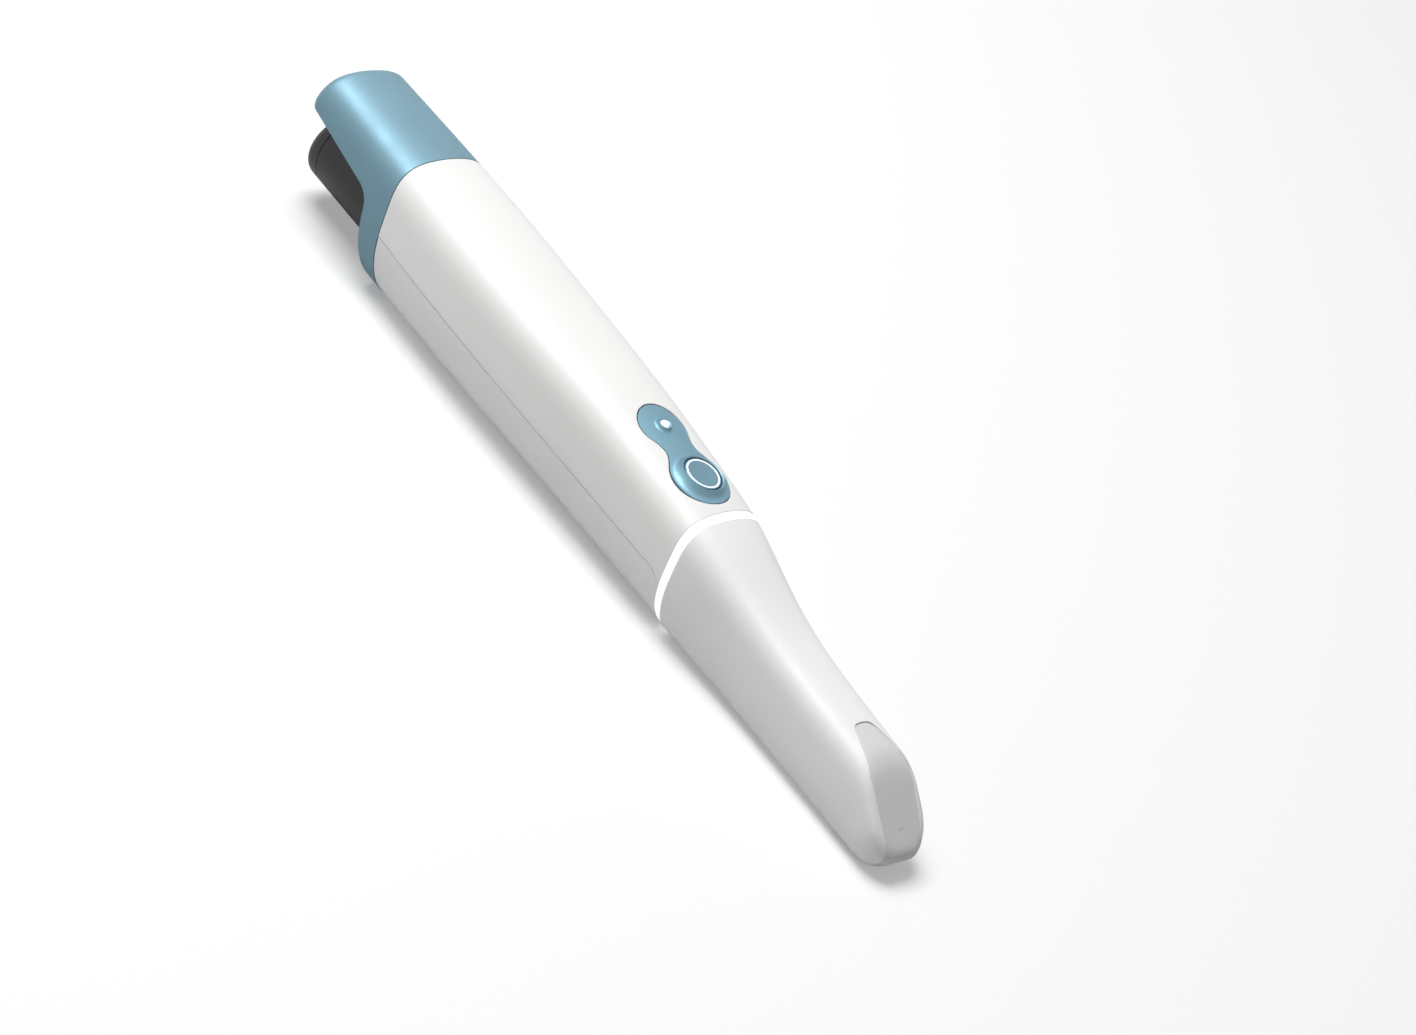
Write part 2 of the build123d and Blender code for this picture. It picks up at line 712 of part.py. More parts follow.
with BuildPart() as scan_tip:
    add(TIP & tip_end_region(0.0) & tip_plan(0.0) & front_of_ring(RING_WIDTH + TIP_GAP))
    add(TIP_INSIDE & tip_end_region(TIP_WALL) & tip_plan(TIP_WALL), mode=Mode.SUBTRACT)
    add(cap_column(CAP_GAP), mode=Mode.SUBTRACT)
    with BuildSketch(Plane.XY):
        with Locations(((WINDOW_REAR + WINDOW_FRONT) / 2, 0)):
            RectangleRounded(WINDOW_FRONT - WINDOW_REAR, 2 * WINDOW_HALF, WINDOW_CORNER)
    extrude(amount=3 * TIP_WALL, mode=Mode.SUBTRACT)

with BuildPart() as tip_end_cap:
    add(tip_end_region(0.0) & tip_plan(0.0) & cap_column(0.0) & tip_form(CAP_RECESS))
    add(tip_end_region(CAP_WALL) & tip_plan(CAP_WALL) & tip_form(CAP_RECESS + CAP_WALL), mode=Mode.SUBTRACT)
    with BuildSketch(Plane.YZ.offset(TIP_END - TOE_RADIUS)):
        with Locations((0, VENT_Z)):
            Circle(VENT_RADIUS)
    extrude(amount=2 * TOE_RADIUS, mode=Mode.SUBTRACT)

face_angle = math.atan(face_fall)
FACE_PLANE = Plane(
    origin=((FACE_TOP[0] + FACE_FOOT[0]) / 2, 0, (FACE_TOP[1] + FACE_FOOT[1]) / 2),
    x_dir=(math.cos(face_angle), 0, -math.sin(face_angle)),
    z_dir=(math.sin(face_angle), 0, math.cos(face_angle)),
)
with BuildPart() as tip_mirror:
    with BuildSketch(FACE_PLANE.offset(-SEAT_GAP - CAP_WALL - MIRROR_THICKNESS)):
        RectangleRounded(MIRROR_LENGTH, MIRROR_WIDTH, MIRROR_CORNER)
    extrude(amount=MIRROR_THICKNESS)


# Nose: the collar and tube that the tip slides onto

with BuildPart() as nose_tube:
    flange = body_form(SHELL_WALL + RING_RECESS)
    collar = tip_form(TIP_WALL + COLLAR_FIT)
    hollow = tip_form(COLLAR_INSIDE)
    add(body_slab(RING_FOOT, RING_LEAN, -FLANGE_LENGTH, FLANGE_LENGTH + RING_WIDTH, flange))
    add(body_slab(RING_FOOT, RING_LEAN, RING_WIDTH, COLLAR_LENGTH, collar))
    hollow_length = COLLAR_LENGTH + HOLLOW_REACH
    add(body_slab(RING_FOOT, RING_LEAN, -HOLLOW_REACH, hollow_length, hollow), mode=Mode.SUBTRACT)
    with BuildSketch(Plane.YZ.offset(FRAME_FRONT)):
        with Locations((0, AXIS_Z)):
            Circle(NOSE_RADIUS)
    extrude(amount=NOSE_END - FRAME_FRONT)
    with BuildSketch(Plane.YZ.offset(FRAME_FRONT - 1)):
        with Locations((0, AXIS_Z)):
            Circle(NOSE_BORE)
    extrude(amount=SKY * 2, mode=Mode.SUBTRACT)
    with BuildSketch(Plane.YZ.offset(NOSE_END - WINDOW_SEAT)):
        with Locations((0, AXIS_Z)):
            Circle(NOSE_BORE + SEAT_STEP)
    extrude(amount=2 * WINDOW_SEAT, mode=Mode.SUBTRACT)

with BuildPart() as window_seal:
    with BuildSketch(Plane.YZ.offset(NOSE_END - WINDOW_SEAT)):
        with Locations((0, AXIS_Z)):
            Circle(NOSE_BORE + SEAT_STEP - SEAT_GAP)
            Circle(NOSE_BORE - SEAL_OVERLAP, mode=Mode.SUBTRACT)
    extrude(amount=SEAL_THICKNESS)

with BuildPart() as nose_window:
    with BuildSketch(Plane.YZ.offset(NOSE_END - WINDOW_SEAT + SEAL_THICKNESS)):
        with Locations((0, AXIS_Z)):
            Circle(NOSE_BORE + SEAT_STEP - SEAT_GAP)
    extrude(amount=WINDOW_SEAT - SEAL_THICKNESS - 2 * SEAT_GAP)


# Lenses

def dome_fall(radius, bulge, reach):
    """How far a dome of that radius and bulge has fallen at a given reach from its axis."""
    sphere = (radius ** 2 + bulge ** 2) / (2 * bulge)
    return sphere - math.sqrt(sphere ** 2 - reach ** 2)


def lens_part(centre_x, radius, edge, bulge):
    """Glass lens with two domed faces on the optical axis."""
    rear = centre_x - edge / 2
    front = centre_x + edge / 2
    half_way = bulge - dome_fall(radius, bulge, radius / 2)
    with BuildPart() as glass:
        with BuildSketch(Plane.XZ):
            with BuildLine():
                ThreePointArc(
                    (rear - bulge, AXIS_Z), (rear - half_way, AXIS_Z + radius / 2), (rear, AXIS_Z + radius)
                )
                Line((rear, AXIS_Z + radius), (front, AXIS_Z + radius))
                ThreePointArc(
                    (front, AXIS_Z + radius), (front + half_way, AXIS_Z + radius / 2), (front + bulge, AXIS_Z)
                )
                Line((front + bulge, AXIS_Z), (rear - bulge, AXIS_Z))
            make_face()
        revolve(axis=Axis((0, 0, AXIS_Z), (1, 0, 0)))
    return glass.part


RELAY_REAR_X = 42.0
RELAY_FRONT_X = 60.0
LENS_EDGE = 1.6
LENS_BULGE = 1.0
SPACER_WALL = 0.75
SPACER_GAP = 0.25
relay_lens_rear = lens_part(RELAY_REAR_X, NOSE_BORE - SEAT_GAP, LENS_EDGE, LENS_BULGE)
relay_lens_front = lens_part(RELAY_FRONT_X, NOSE_BORE - SEAT_GAP, LENS_EDGE, LENS_BULGE)

SPACER_START = RELAY_REAR_X + LENS_EDGE / 2 + SPACER_GAP
SPACER_END = RELAY_FRONT_X - LENS_EDGE / 2 - SPACER_GAP
with BuildPart() as lens_spacer:
    with BuildSketch(Plane.YZ.offset(SPACER_START)):
        with Locations((0, AXIS_Z)):
            Circle(NOSE_BORE - SEAT_GAP)
            Circle(NOSE_BORE - SEAT_GAP - SPACER_WALL, mode=Mode.SUBTRACT)
    extrude(amount=SPACER_END - SPACER_START)


# Optics frame with the focus carriage on its two rods

FRAME_DECK = FRAME_FLOOR + FRAME_BASE
FRAME_LENGTH = FRAME_FRONT + FRAME_PLATE - FRAME_REAR
FOCUS_BAY = 9.4
PLATE_BORES = {FRAME_FRONT: NOSE_RADIUS + SEAT_GAP, FRAME_MIDDLE: NOSE_BORE + SEAT_STEP}
BAR_HEIGHT = 5.5
PLATE_CORNER = 3.0
FRAME_CLEARANCE = 0.4
POST_DRILLING = 4.0
SCREW_CLEARANCE = 0.15
with BuildPart() as optics_frame:
    with Locations((FRAME_REAR, 0, FRAME_FLOOR)):
        Box(FRAME_LENGTH, 2 * FRAME_FOOT_HALF, FRAME_BASE, align=(Align.MIN, Align.CENTER, Align.MIN))
    for plate_x in PLATE_BORES:
        with BuildSketch(Plane.YZ.offset(plate_x)):
            with Locations((0, (FRAME_FLOOR + FRAME_TOP) / 2)):
                RectangleRounded(2 * FRAME_HALF, FRAME_TOP - FRAME_FLOOR, PLATE_CORNER)
        extrude(amount=FRAME_PLATE)
    with Locations((POST_PLACES[0][0], 0, FRAME_FLOOR)):
        Box(2 * POST_RADIUS, 2 * FRAME_HALF, BAR_HEIGHT, align=(Align.CENTER, Align.CENTER, Align.MIN))
    with BuildSketch(Plane.XY.offset(FRAME_FLOOR)):
        with Locations(*POST_PLACES):
            Circle(POST_RADIUS)
    extrude(amount=BOARD_Z - FRAME_FLOOR)
    add(body_form(SHELL_WALL + FRAME_CLEARANCE), mode=Mode.INTERSECT)
    with BuildSketch(Plane.YZ.offset(FRAME_MIDDLE + FRAME_PLATE)):
        with Locations((0, AXIS_Z)):
            Circle(FOCUS_BAY)
    extrude(amount=FRAME_FRONT - FRAME_MIDDLE - FRAME_PLATE, mode=Mode.SUBTRACT)
    for plate_x, bore in PLATE_BORES.items():
        with BuildSketch(Plane.YZ.offset(plate_x)):
            with Locations((0, AXIS_Z)):
                Circle(bore)
            with Locations((-ROD_Y, AXIS_Z), (ROD_Y, AXIS_Z)):
                Circle(ROD_RADIUS + SLIDE_FIT)
        extrude(amount=FRAME_PLATE, mode=Mode.SUBTRACT)
    with BuildSketch(Plane.XY.offset(BOARD_Z - POST_DRILLING)):
        with Locations(*POST_PLACES):
            Circle(SCREW_RADIUS)
    extrude(amount=2 * POST_DRILLING, mode=Mode.SUBTRACT)
    with BuildSketch(Plane.XY):
        with Locations(*BOSS_PLACES):
            Circle(SCREW_RADIUS + SCREW_CLEARANCE)
    extrude(amount=FRAME_DECK, mode=Mode.SUBTRACT)

ROD_LENGTH = FRAME_FRONT + FRAME_PLATE - FRAME_MIDDLE
for name, y in (("guide_rod_left", ROD_Y), ("guide_rod_right", -ROD_Y)):
    with BuildPart() as guide_rod:
        with BuildSketch(Plane.YZ.offset(FRAME_MIDDLE)):
            with Locations((y, AXIS_Z)):
                Circle(ROD_RADIUS)
        extrude(amount=ROD_LENGTH)
    write(guide_rod.part, name)

MAGNET_LENGTH = 8.0
MAGNET_INNER = 7.9
MAGNET_OUTER = 9.0
COIL_OUTER = 7.6
COIL_WALL = 0.7
COIL_LENGTH = 8.5
CARRIAGE_X = 10.0
CARRIAGE_LENGTH = 7.0
EAR_LENGTH = 4.0
EAR_WIDTH = 3.6
EAR_START = 1.0
FOCUS_LENS_EDGE = 2.4
FOCUS_LENS_BULGE = 1.2
with BuildPart() as magnet_ring:
    with BuildSketch(Plane.YZ.offset(FRAME_MIDDLE + FRAME_PLATE)):
        with Locations((0, AXIS_Z)):
            Circle(MAGNET_OUTER)
            Circle(MAGNET_INNER, mode=Mode.SUBTRACT)
    extrude(amount=MAGNET_LENGTH)

with BuildPart() as focus_coil:
    with BuildSketch(Plane.YZ.offset(CARRIAGE_X - COIL_LENGTH)):
        with Locations((0, AXIS_Z)):
            Circle(COIL_OUTER)
            Circle(COIL_OUTER - COIL_WALL, mode=Mode.SUBTRACT)
    extrude(amount=COIL_LENGTH)

with BuildPart() as focus_carriage:
    with BuildSketch(Plane.YZ.offset(CARRIAGE_X)):
        with Locations((0, AXIS_Z)):
            Circle(COIL_OUTER)
    extrude(amount=CARRIAGE_LENGTH)
    with BuildSketch(Plane.YZ.offset(CARRIAGE_X + EAR_START)):
        with Locations((0, AXIS_Z)):
            SlotOverall(2 * ROD_Y + EAR_WIDTH, EAR_WIDTH)
    extrude(amount=EAR_LENGTH)
    with BuildSketch(Plane.YZ.offset(CARRIAGE_X)):
        with Locations((0, AXIS_Z)):
            Circle(NOSE_BORE + SEAT_GAP)
        with Locations((-ROD_Y, AXIS_Z), (ROD_Y, AXIS_Z)):
            Circle(ROD_RADIUS + ROD_FIT)
    extrude(amount=CARRIAGE_LENGTH, mode=Mode.SUBTRACT)

focus_lens = lens_part(CARRIAGE_X + CARRIAGE_LENGTH / 2, NOSE_BORE, FOCUS_LENS_EDGE, FOCUS_LENS_BULGE)


# Light path behind the carriage: splitter, light module, sensor

SPLITTER_X = -16.0
SENSOR_X = -30.6
with BuildPart() as beam_splitter:
    with Locations((SPLITTER_X, 0, AXIS_Z)):
        Box(SPLITTER_SIZE, SPLITTER_SIZE, SPLITTER_SIZE)
    chamfer(beam_splitter.edges(), SPLITTER_CHAMFER)

HOLDER_OUTER = SPLITTER_SIZE + 2 * HOLDER_WALL
LIGHT_SLOT = 0.73 * SPLITTER_SIZE
standing = (Align.CENTER, Align.CENTER, Align.MIN)
with BuildPart() as splitter_holder:
    with Locations((SPLITTER_X, 0, FRAME_DECK)):
        Box(HOLDER_OUTER, HOLDER_OUTER, HOLDER_FLOOR + HOLDER_LIP, align=standing)
    with Locations((SPLITTER_X, 0, FRAME_DECK + HOLDER_FLOOR)):
        Box(SPLITTER_SIZE, SPLITTER_SIZE, HOLDER_LIP, align=standing, mode=Mode.SUBTRACT)
        Box(HOLDER_OUTER, LIGHT_SLOT, HOLDER_LIP, align=standing, mode=Mode.SUBTRACT)

CONDENSER_RADIUS = 4.5
CONDENSER_BULGE = 0.9
CONDENSER_EDGE = 1.0
CONDENSER_LIFT = 2.3
CONDENSER_Z = AXIS_Z + SPLITTER_SIZE / 2 + CONDENSER_LIFT
CONDENSER_WALL = 0.7
MODULE_LIFT = 1.4
MODULE_Z = CONDENSER_Z + MODULE_LIFT
MODULE_SIZE = 12.0
MODULE_HEIGHT = 4.2
with BuildPart() as condenser_lens:
    with BuildSketch(Plane.XZ):
        with BuildLine():
            half_way = CONDENSER_BULGE - dome_fall(CONDENSER_RADIUS, CONDENSER_BULGE, CONDENSER_RADIUS / 2)
            Polyline(
                (SPLITTER_X, CONDENSER_Z + CONDENSER_BULGE),
                (SPLITTER_X, CONDENSER_Z - CONDENSER_EDGE),
                (SPLITTER_X + CONDENSER_RADIUS, CONDENSER_Z - CONDENSER_EDGE),
                (SPLITTER_X + CONDENSER_RADIUS, CONDENSER_Z),
            )
            ThreePointArc(
                (SPLITTER_X + CONDENSER_RADIUS, CONDENSER_Z),
                (SPLITTER_X + CONDENSER_RADIUS / 2, CONDENSER_Z + half_way),
                (SPLITTER_X, CONDENSER_Z + CONDENSER_BULGE),
            )
        make_face()
    revolve(axis=Axis((SPLITTER_X, 0, 0), (0, 0, 1)))

with BuildPart() as light_module:
    with Locations((SPLITTER_X, 0, MODULE_Z)):
        Box(MODULE_SIZE, MODULE_SIZE, MODULE_HEIGHT, align=standing)
    with BuildSketch(Plane.XY.offset(AXIS_Z + SPLITTER_SIZE / 2)):
        with Locations((SPLITTER_X, 0)):
            Circle(CONDENSER_RADIUS + CONDENSER_WALL)
            Circle(CONDENSER_RADIUS + SEAT_GAP, mode=Mode.SUBTRACT)
    extrude(amount=MODULE_Z - AXIS_Z - SPLITTER_SIZE / 2)

SENSOR_BOARD = (1.2, 19.0, 17.0)
SENSOR_THICKNESS = 1.4
SENSOR_SIZE = 9.0
with BuildPart() as sensor_board:
    with Locations((SENSOR_X, 0, FRAME_DECK)):
        Box(*SENSOR_BOARD, align=(Align.MAX, Align.CENTER, Align.MIN))

with BuildPart() as image_sensor:
    with Locations((SENSOR_X, 0, AXIS_Z)):
        Box(SENSOR_THICKNESS, SENSOR_SIZE, SENSOR_SIZE, align=(Align.MIN, Align.CENTER, Align.CENTER))


# Boards and what they carry

BOARD_LENGTH = BOARD_FRONT - FRAME_REAR
BOARD_X = (BOARD_FRONT + FRAME_REAR) / 2
SHIELD_X = -34.0
SINK_X = -32.0
SINK_BASE_Z = 30.9
SINK_TOP = 35.4
SINK_FINS = 7
SINK_HALF = 11.5
SINK_LENGTH = 34.0
SINK_BASE = 1.4
FIN_WIDTH = 1.0
SHIELD_LENGTH = 24.0
SHIELD_WIDTH = 18.0
SHIELD_CORNER = 1.0
BOARD_CORNER = 2.0
with BuildPart() as main_board:
    with BuildSketch(Plane.XY.offset(BOARD_Z)):
        with Locations((BOARD_X, 0)):
            RectangleRounded(BOARD_LENGTH, 2 * FRAME_HALF, BOARD_CORNER)
        with Locations(*POST_PLACES):
            Circle(SCREW_RADIUS + SCREW_CLEARANCE, mode=Mode.SUBTRACT)
    extrude(amount=BOARD_THICKNESS)

with BuildPart() as processor_shield:
    with Locations((SHIELD_X, 0, BOARD_Z + BOARD_THICKNESS)):
        Box(SHIELD_LENGTH, SHIELD_WIDTH, SINK_BASE_Z - BOARD_Z - BOARD_THICKNESS, align=standing)
    fillet(processor_shield.edges().filter_by(Axis.Z), SHIELD_CORNER)

with BuildPart() as heat_sink:
    with Locations((SINK_X, 0, SINK_BASE_Z)):
        Box(SINK_LENGTH, 2 * SINK_HALF, SINK_BASE, align=standing)
        with GridLocations(0, (2 * SINK_HALF - FIN_WIDTH) / (SINK_FINS - 1), 1, SINK_FINS):
            Box(SINK_LENGTH, FIN_WIDTH, SINK_TOP - SINK_BASE_Z, align=standing)

MOTOR_X = -37.5
MOTOR_RADIUS = 4.5
MOTOR_HEIGHT = 2.8
with BuildPart() as vibration_motor:
    with BuildSketch(Plane.XY.offset(FRAME_DECK)):
        with Locations((MOTOR_X, 0)):
            Circle(MOTOR_RADIUS)
    extrude(amount=MOTOR_HEIGHT)

HEAD_RADIUS = 1.5
HEAD_HEIGHT = 1.0
SCREW_BOTTOM_GAP = 0.3
FRAME_SCREW_FOOT = BOSS_START + SCREW_BOTTOM_GAP
BOARD_SCREW_LENGTH = 3.8
with BuildPart() as frame_screws:
    with BuildSketch(Plane.XY.offset(FRAME_DECK)):
        with Locations(*BOSS_PLACES):
            Circle(HEAD_RADIUS)
    extrude(amount=HEAD_HEIGHT)
    with BuildSketch(Plane.XY.offset(FRAME_SCREW_FOOT)):
        with Locations(*BOSS_PLACES):
            Circle(SCREW_RADIUS - SLIDE_FIT)
    extrude(amount=FRAME_DECK - FRAME_SCREW_FOOT)

with BuildPart() as board_screws:
    with BuildSketch(Plane.XY.offset(BOARD_Z + BOARD_THICKNESS)):
        with Locations(*POST_PLACES):
            Circle(HEAD_RADIUS)
    extrude(amount=HEAD_HEIGHT)
    with BuildSketch(Plane.XY.offset(BOARD_Z - BOARD_SCREW_LENGTH)):
        with Locations(*POST_PLACES):
            Circle(SCREW_RADIUS - SLIDE_FIT)
    extrude(amount=BOARD_SCREW_LENGTH + BOARD_THICKNESS)


# Control plate, button and status light on the top

def turned_on_plate(u, *profile):
    """Turn a profile of radius and height round an axis that stands on the control plate."""
    foot = PLATE_PLANE.from_local_coords(Vector(u, 0, 0))
    side = Plane(origin=foot, x_dir=PLATE_PLANE.x_dir, z_dir=-PLATE_PLANE.y_dir)
    with BuildPart() as turned:
        with BuildSketch(side):
            with BuildLine():
                Polyline(*profile, close=True)
            make_face()
        revolve(axis=Axis(foot, PLATE_PLANE.z_dir))
    return turned.part


def rim(u, bore, crest_radius, crest, foot_radius, foot):
    """Raised rim that flares down into the plate like a crater."""
    place = PLATE_PLANE.from_local_coords(Vector(u, 0, 0))
    side = Plane(origin=place, x_dir=PLATE_PLANE.x_dir, z_dir=-PLATE_PLANE.y_dir)
    shoulder = (crest_radius + SHOULDER_SHARE * (crest_radius - bore), crest - SHOULDER_FALL)
    with BuildPart() as turned:
        with BuildSketch(side):
            with BuildLine():
                Line((bore, RIM_ROOT), (bore, crest - LIP_FALL))
                ThreePointArc((bore, crest - LIP_FALL), (crest_radius, crest), shoulder)
                waist = (
                    shoulder[0] + WAIST_OUT * (foot_radius - shoulder[0]),
                    shoulder[1] + WAIST_DOWN * (foot - shoulder[1]),
                )
                ThreePointArc(shoulder, waist, (foot_radius, foot))
                Polyline((foot_radius, foot), (foot_radius, RIM_ROOT), (bore, RIM_ROOT))
            make_face()
        revolve(axis=Axis(place, PLATE_PLANE.z_dir))
    return turned.part


CONTROL_BOARD_TOP = -6.4
CONTROL_BOARD = (29.0, 21.0, 1.5)
CONTROL_BOARD_U = 9.5
CONTROL_BOARD_THICKNESS = 1.0
POST_FOOT_RADIUS = 1.1
CREST_WIDTH = 0.45
LIGHT_CRATER = 3.6
CONTROL_POSTS = [(-3.8, 3.2), (-3.8, -3.2), (9.0, 2.8), (9.0, -2.8)]
BUTTON_BORE = BUTTON_RADIUS + BUTTON_GAP
LENS_BORE = LENS_RADIUS + LENS_GAP
with BuildPart() as control_plate:
    add(body_form(PLATE_INSET) & plate_column(0.0))
    button_rim = rim(BUTTON_U, BUTTON_BORE, BUTTON_BORE + CREST_WIDTH, RIM_CREST, BUTTON_LOBE, RIM_FOOT)
    add(button_rim & plate_column(0.0))
    add(rim(0, LENS_BORE, LENS_BORE + CREST_WIDTH, RIM_CREST, LIGHT_CRATER, CRATER_FOOT))
    add(body_form(PLATE_INSET + PLATE_THICKNESS), mode=Mode.SUBTRACT)
    for u, bore in ((BUTTON_U, BUTTON_BORE), (0, LENS_BORE)):
        with BuildSketch(PLATE_PLANE.offset(DEEP)):
            with Locations((u, 0)):
                Circle(bore)
        extrude(amount=-2 * DEEP, mode=Mode.SUBTRACT)
    with BuildSketch(PLATE_PLANE.offset(CONTROL_BOARD_TOP)):
        with Locations(*CONTROL_POSTS):
            Circle(POST_FOOT_RADIUS)
    extrude(amount=-CONTROL_BOARD_TOP - PLATE_THICKNESS / 2)

with BuildPart() as plate_gasket:
    add(body_form(SHELL_WALL) & plate_column(GASKET_OUTSIDE))
    add(body_form(SHELL_WALL + GASKET_THICKNESS), mode=Mode.SUBTRACT)
    add(plate_column(-GASKET_INSIDE), mode=Mode.SUBTRACT)

FLANGE_TOP = -2.6
FLANGE_THICKNESS = 0.4
FLANGE_REACH = 1.0
FLANGE_FOOT = FLANGE_TOP - FLANGE_THICKNESS
FLANGE_RADIUS = BUTTON_RADIUS + FLANGE_REACH
STEM_FOOT = -3.15
STEM_RADIUS = 1.4
BUTTON_EDGE = 0.3
GLOW_DEPTH = 0.6
with BuildPart() as control_button:
    add(
        turned_on_plate(
            BUTTON_U,
            (0, STEM_FOOT),
            (STEM_RADIUS, STEM_FOOT),
            (STEM_RADIUS, FLANGE_FOOT),
            (FLANGE_RADIUS, FLANGE_FOOT),
            (FLANGE_RADIUS, FLANGE_TOP),
            (BUTTON_RADIUS, FLANGE_TOP),
            (BUTTON_RADIUS, BUTTON_TOP - BUTTON_EDGE),
            (BUTTON_RADIUS - BUTTON_EDGE, BUTTON_TOP),
            (GLOW_OUTER, BUTTON_TOP),
            (GLOW_OUTER, BUTTON_TOP - GLOW_DEPTH),
            (GLOW_INNER, BUTTON_TOP - GLOW_DEPTH),
            (GLOW_INNER, BUTTON_TOP),
            (0, BUTTON_TOP),
        )
    )

button_glow = turned_on_plate(
    BUTTON_U,
    (GLOW_INNER, BUTTON_TOP - GLOW_DEPTH),
    (GLOW_OUTER, BUTTON_TOP - GLOW_DEPTH),
    (GLOW_OUTER, BUTTON_TOP),
    (GLOW_INNER, BUTTON_TOP),
)

status_lens = turned_on_plate(
    0,
    (0, CONTROL_BOARD_TOP + 1.0),
    (LENS_RADIUS, CONTROL_BOARD_TOP + 1.0),
    (LENS_RADIUS, 0.9),
    (LENS_RADIUS * 0.8, 1.15),
    (LENS_RADIUS * 0.45, 1.27),
    (0, 1.3),
)

with BuildPart() as control_board:
    with BuildSketch(PLATE_PLANE.offset(CONTROL_BOARD_TOP - CONTROL_BOARD_THICKNESS)):
        with Locations((CONTROL_BOARD_U, 0)):
            RectangleRounded(*CONTROL_BOARD)
    extrude(amount=CONTROL_BOARD_THICKNESS)

LED_SIZE = 2.0
LED_HEIGHT = 0.8
with BuildPart() as status_led:
    with BuildSketch(PLATE_PLANE.offset(CONTROL_BOARD_TOP)):
        Rectangle(LED_SIZE, LED_SIZE)
    extrude(amount=LED_HEIGHT)

SWITCH_TOP = STEM_FOOT - BUTTON_TRAVEL
SWITCH_SIZE = 6.2
SWITCH_DOME = 0.4
SWITCH_PLUNGER_RADIUS = 1.6
with BuildPart() as button_switch:
    with BuildSketch(PLATE_PLANE.offset(CONTROL_BOARD_TOP)):
        with Locations((BUTTON_U, 0)):
            Rectangle(SWITCH_SIZE, SWITCH_SIZE)
    extrude(amount=SWITCH_TOP - CONTROL_BOARD_TOP - SWITCH_DOME)
    with BuildSketch(PLATE_PLANE.offset(CONTROL_BOARD_TOP)):
        with Locations((BUTTON_U, 0)):
            Circle(SWITCH_PLUNGER_RADIUS)
    extrude(amount=SWITCH_TOP - CONTROL_BOARD_TOP)


# Write the rest

PIECES = {
    "upper_shell": upper_shell.part,
    "lower_shell": lower_shell.part,
    "rear_housing": rear_housing.part,
    "hood_liner": hood_liner.part,
    "antenna_board": antenna_board.part,
    "battery_case": battery_case.part,
    "battery_cap": battery_cap.part,
    "battery_cell": battery_cell.part,
    "cell_pad": cell_pad.part,
    "battery_contacts": battery_contacts.part,
    "battery_bay": battery_bay.part,
    "bay_seal": bay_seal.part,
    "contact_pins": contact_pins.part,
    "bay_board": bay_board.part,
    "light_ring": light_ring.part,
    "scan_tip": scan_tip.part,
    "tip_end_cap": tip_end_cap.part,
    "tip_mirror": tip_mirror.part,
    "nose_tube": nose_tube.part,
    "window_seal": window_seal.part,
    "nose_window": nose_window.part,
    "relay_lens_rear": relay_lens_rear,
    "relay_lens_front": relay_lens_front,
    "lens_spacer": lens_spacer.part,
    "optics_frame": optics_frame.part,
    "magnet_ring": magnet_ring.part,
    "focus_coil": focus_coil.part,
    "focus_carriage": focus_carriage.part,
    "focus_lens": focus_lens,
    "beam_splitter": beam_splitter.part,
    "splitter_holder": splitter_holder.part,
    "condenser_lens": condenser_lens.part,
    "light_module": light_module.part,
    "sensor_board": sensor_board.part,
    "image_sensor": image_sensor.part,
    "main_board": main_board.part,
    "processor_shield": processor_shield.part,
    "heat_sink": heat_sink.part,
    "vibration_motor": vibration_motor.part,
    "frame_screws": frame_screws.part,
    "board_screws": board_screws.part,
    "control_plate": control_plate.part,
    "plate_gasket": plate_gasket.part,
    "control_button": control_button.part,
    "button_glow": button_glow,
    "status_lens": status_lens,
    "control_board": control_board.part,
    "status_led": status_led.part,
    "button_switch": button_switch.part,
}
for name, piece in PIECES.items():
    write(piece, name)
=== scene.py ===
# %% [markdown]
# This lesson dresses a dental scanning wand: a white housing, a blue rear housing with a hood over a black
# battery, a blue control plate and a white tip that slides off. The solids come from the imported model, which
# gives every size. The model is in metres; the sizes below are in millimetres, because that is how such a
# product is drawn.

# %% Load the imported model
import json
import math

import bmesh
import bpy
import numpy as np
from mathutils import Matrix, Vector


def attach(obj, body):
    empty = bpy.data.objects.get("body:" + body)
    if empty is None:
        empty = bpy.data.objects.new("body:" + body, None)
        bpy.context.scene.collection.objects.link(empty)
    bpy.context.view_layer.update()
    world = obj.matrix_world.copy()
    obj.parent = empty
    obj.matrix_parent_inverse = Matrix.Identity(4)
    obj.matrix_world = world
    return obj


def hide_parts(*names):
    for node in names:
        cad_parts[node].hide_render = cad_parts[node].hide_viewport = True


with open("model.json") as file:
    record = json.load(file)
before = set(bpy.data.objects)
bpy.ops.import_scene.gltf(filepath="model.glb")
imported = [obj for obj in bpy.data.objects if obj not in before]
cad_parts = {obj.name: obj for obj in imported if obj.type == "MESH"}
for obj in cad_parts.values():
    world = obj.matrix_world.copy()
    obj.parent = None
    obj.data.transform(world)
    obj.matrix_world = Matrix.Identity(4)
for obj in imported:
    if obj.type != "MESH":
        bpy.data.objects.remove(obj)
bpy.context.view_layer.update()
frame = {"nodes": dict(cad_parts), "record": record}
MM = 0.001

# %% [markdown]
# The photo was taken from above, in front and to one side, with the camera turned a third of the way over, so
# that the wand runs down to the right. A long lens keeps its outline nearly parallel. The camera is placed by
# two angles, its turn and its distance, and a small move across the picture puts the wand in its place.

# %% Camera
AZIMUTH = 30.92
ELEVATION = 32.89
ROLL = 31.54
DISTANCE = 1262.3
ACROSS = 32.585
DOWN = 1.396
FOCAL_PIXELS = 4683.3
PICTURE_WIDTH = 1416
SENSOR = 36.0
FARTHEST = 20


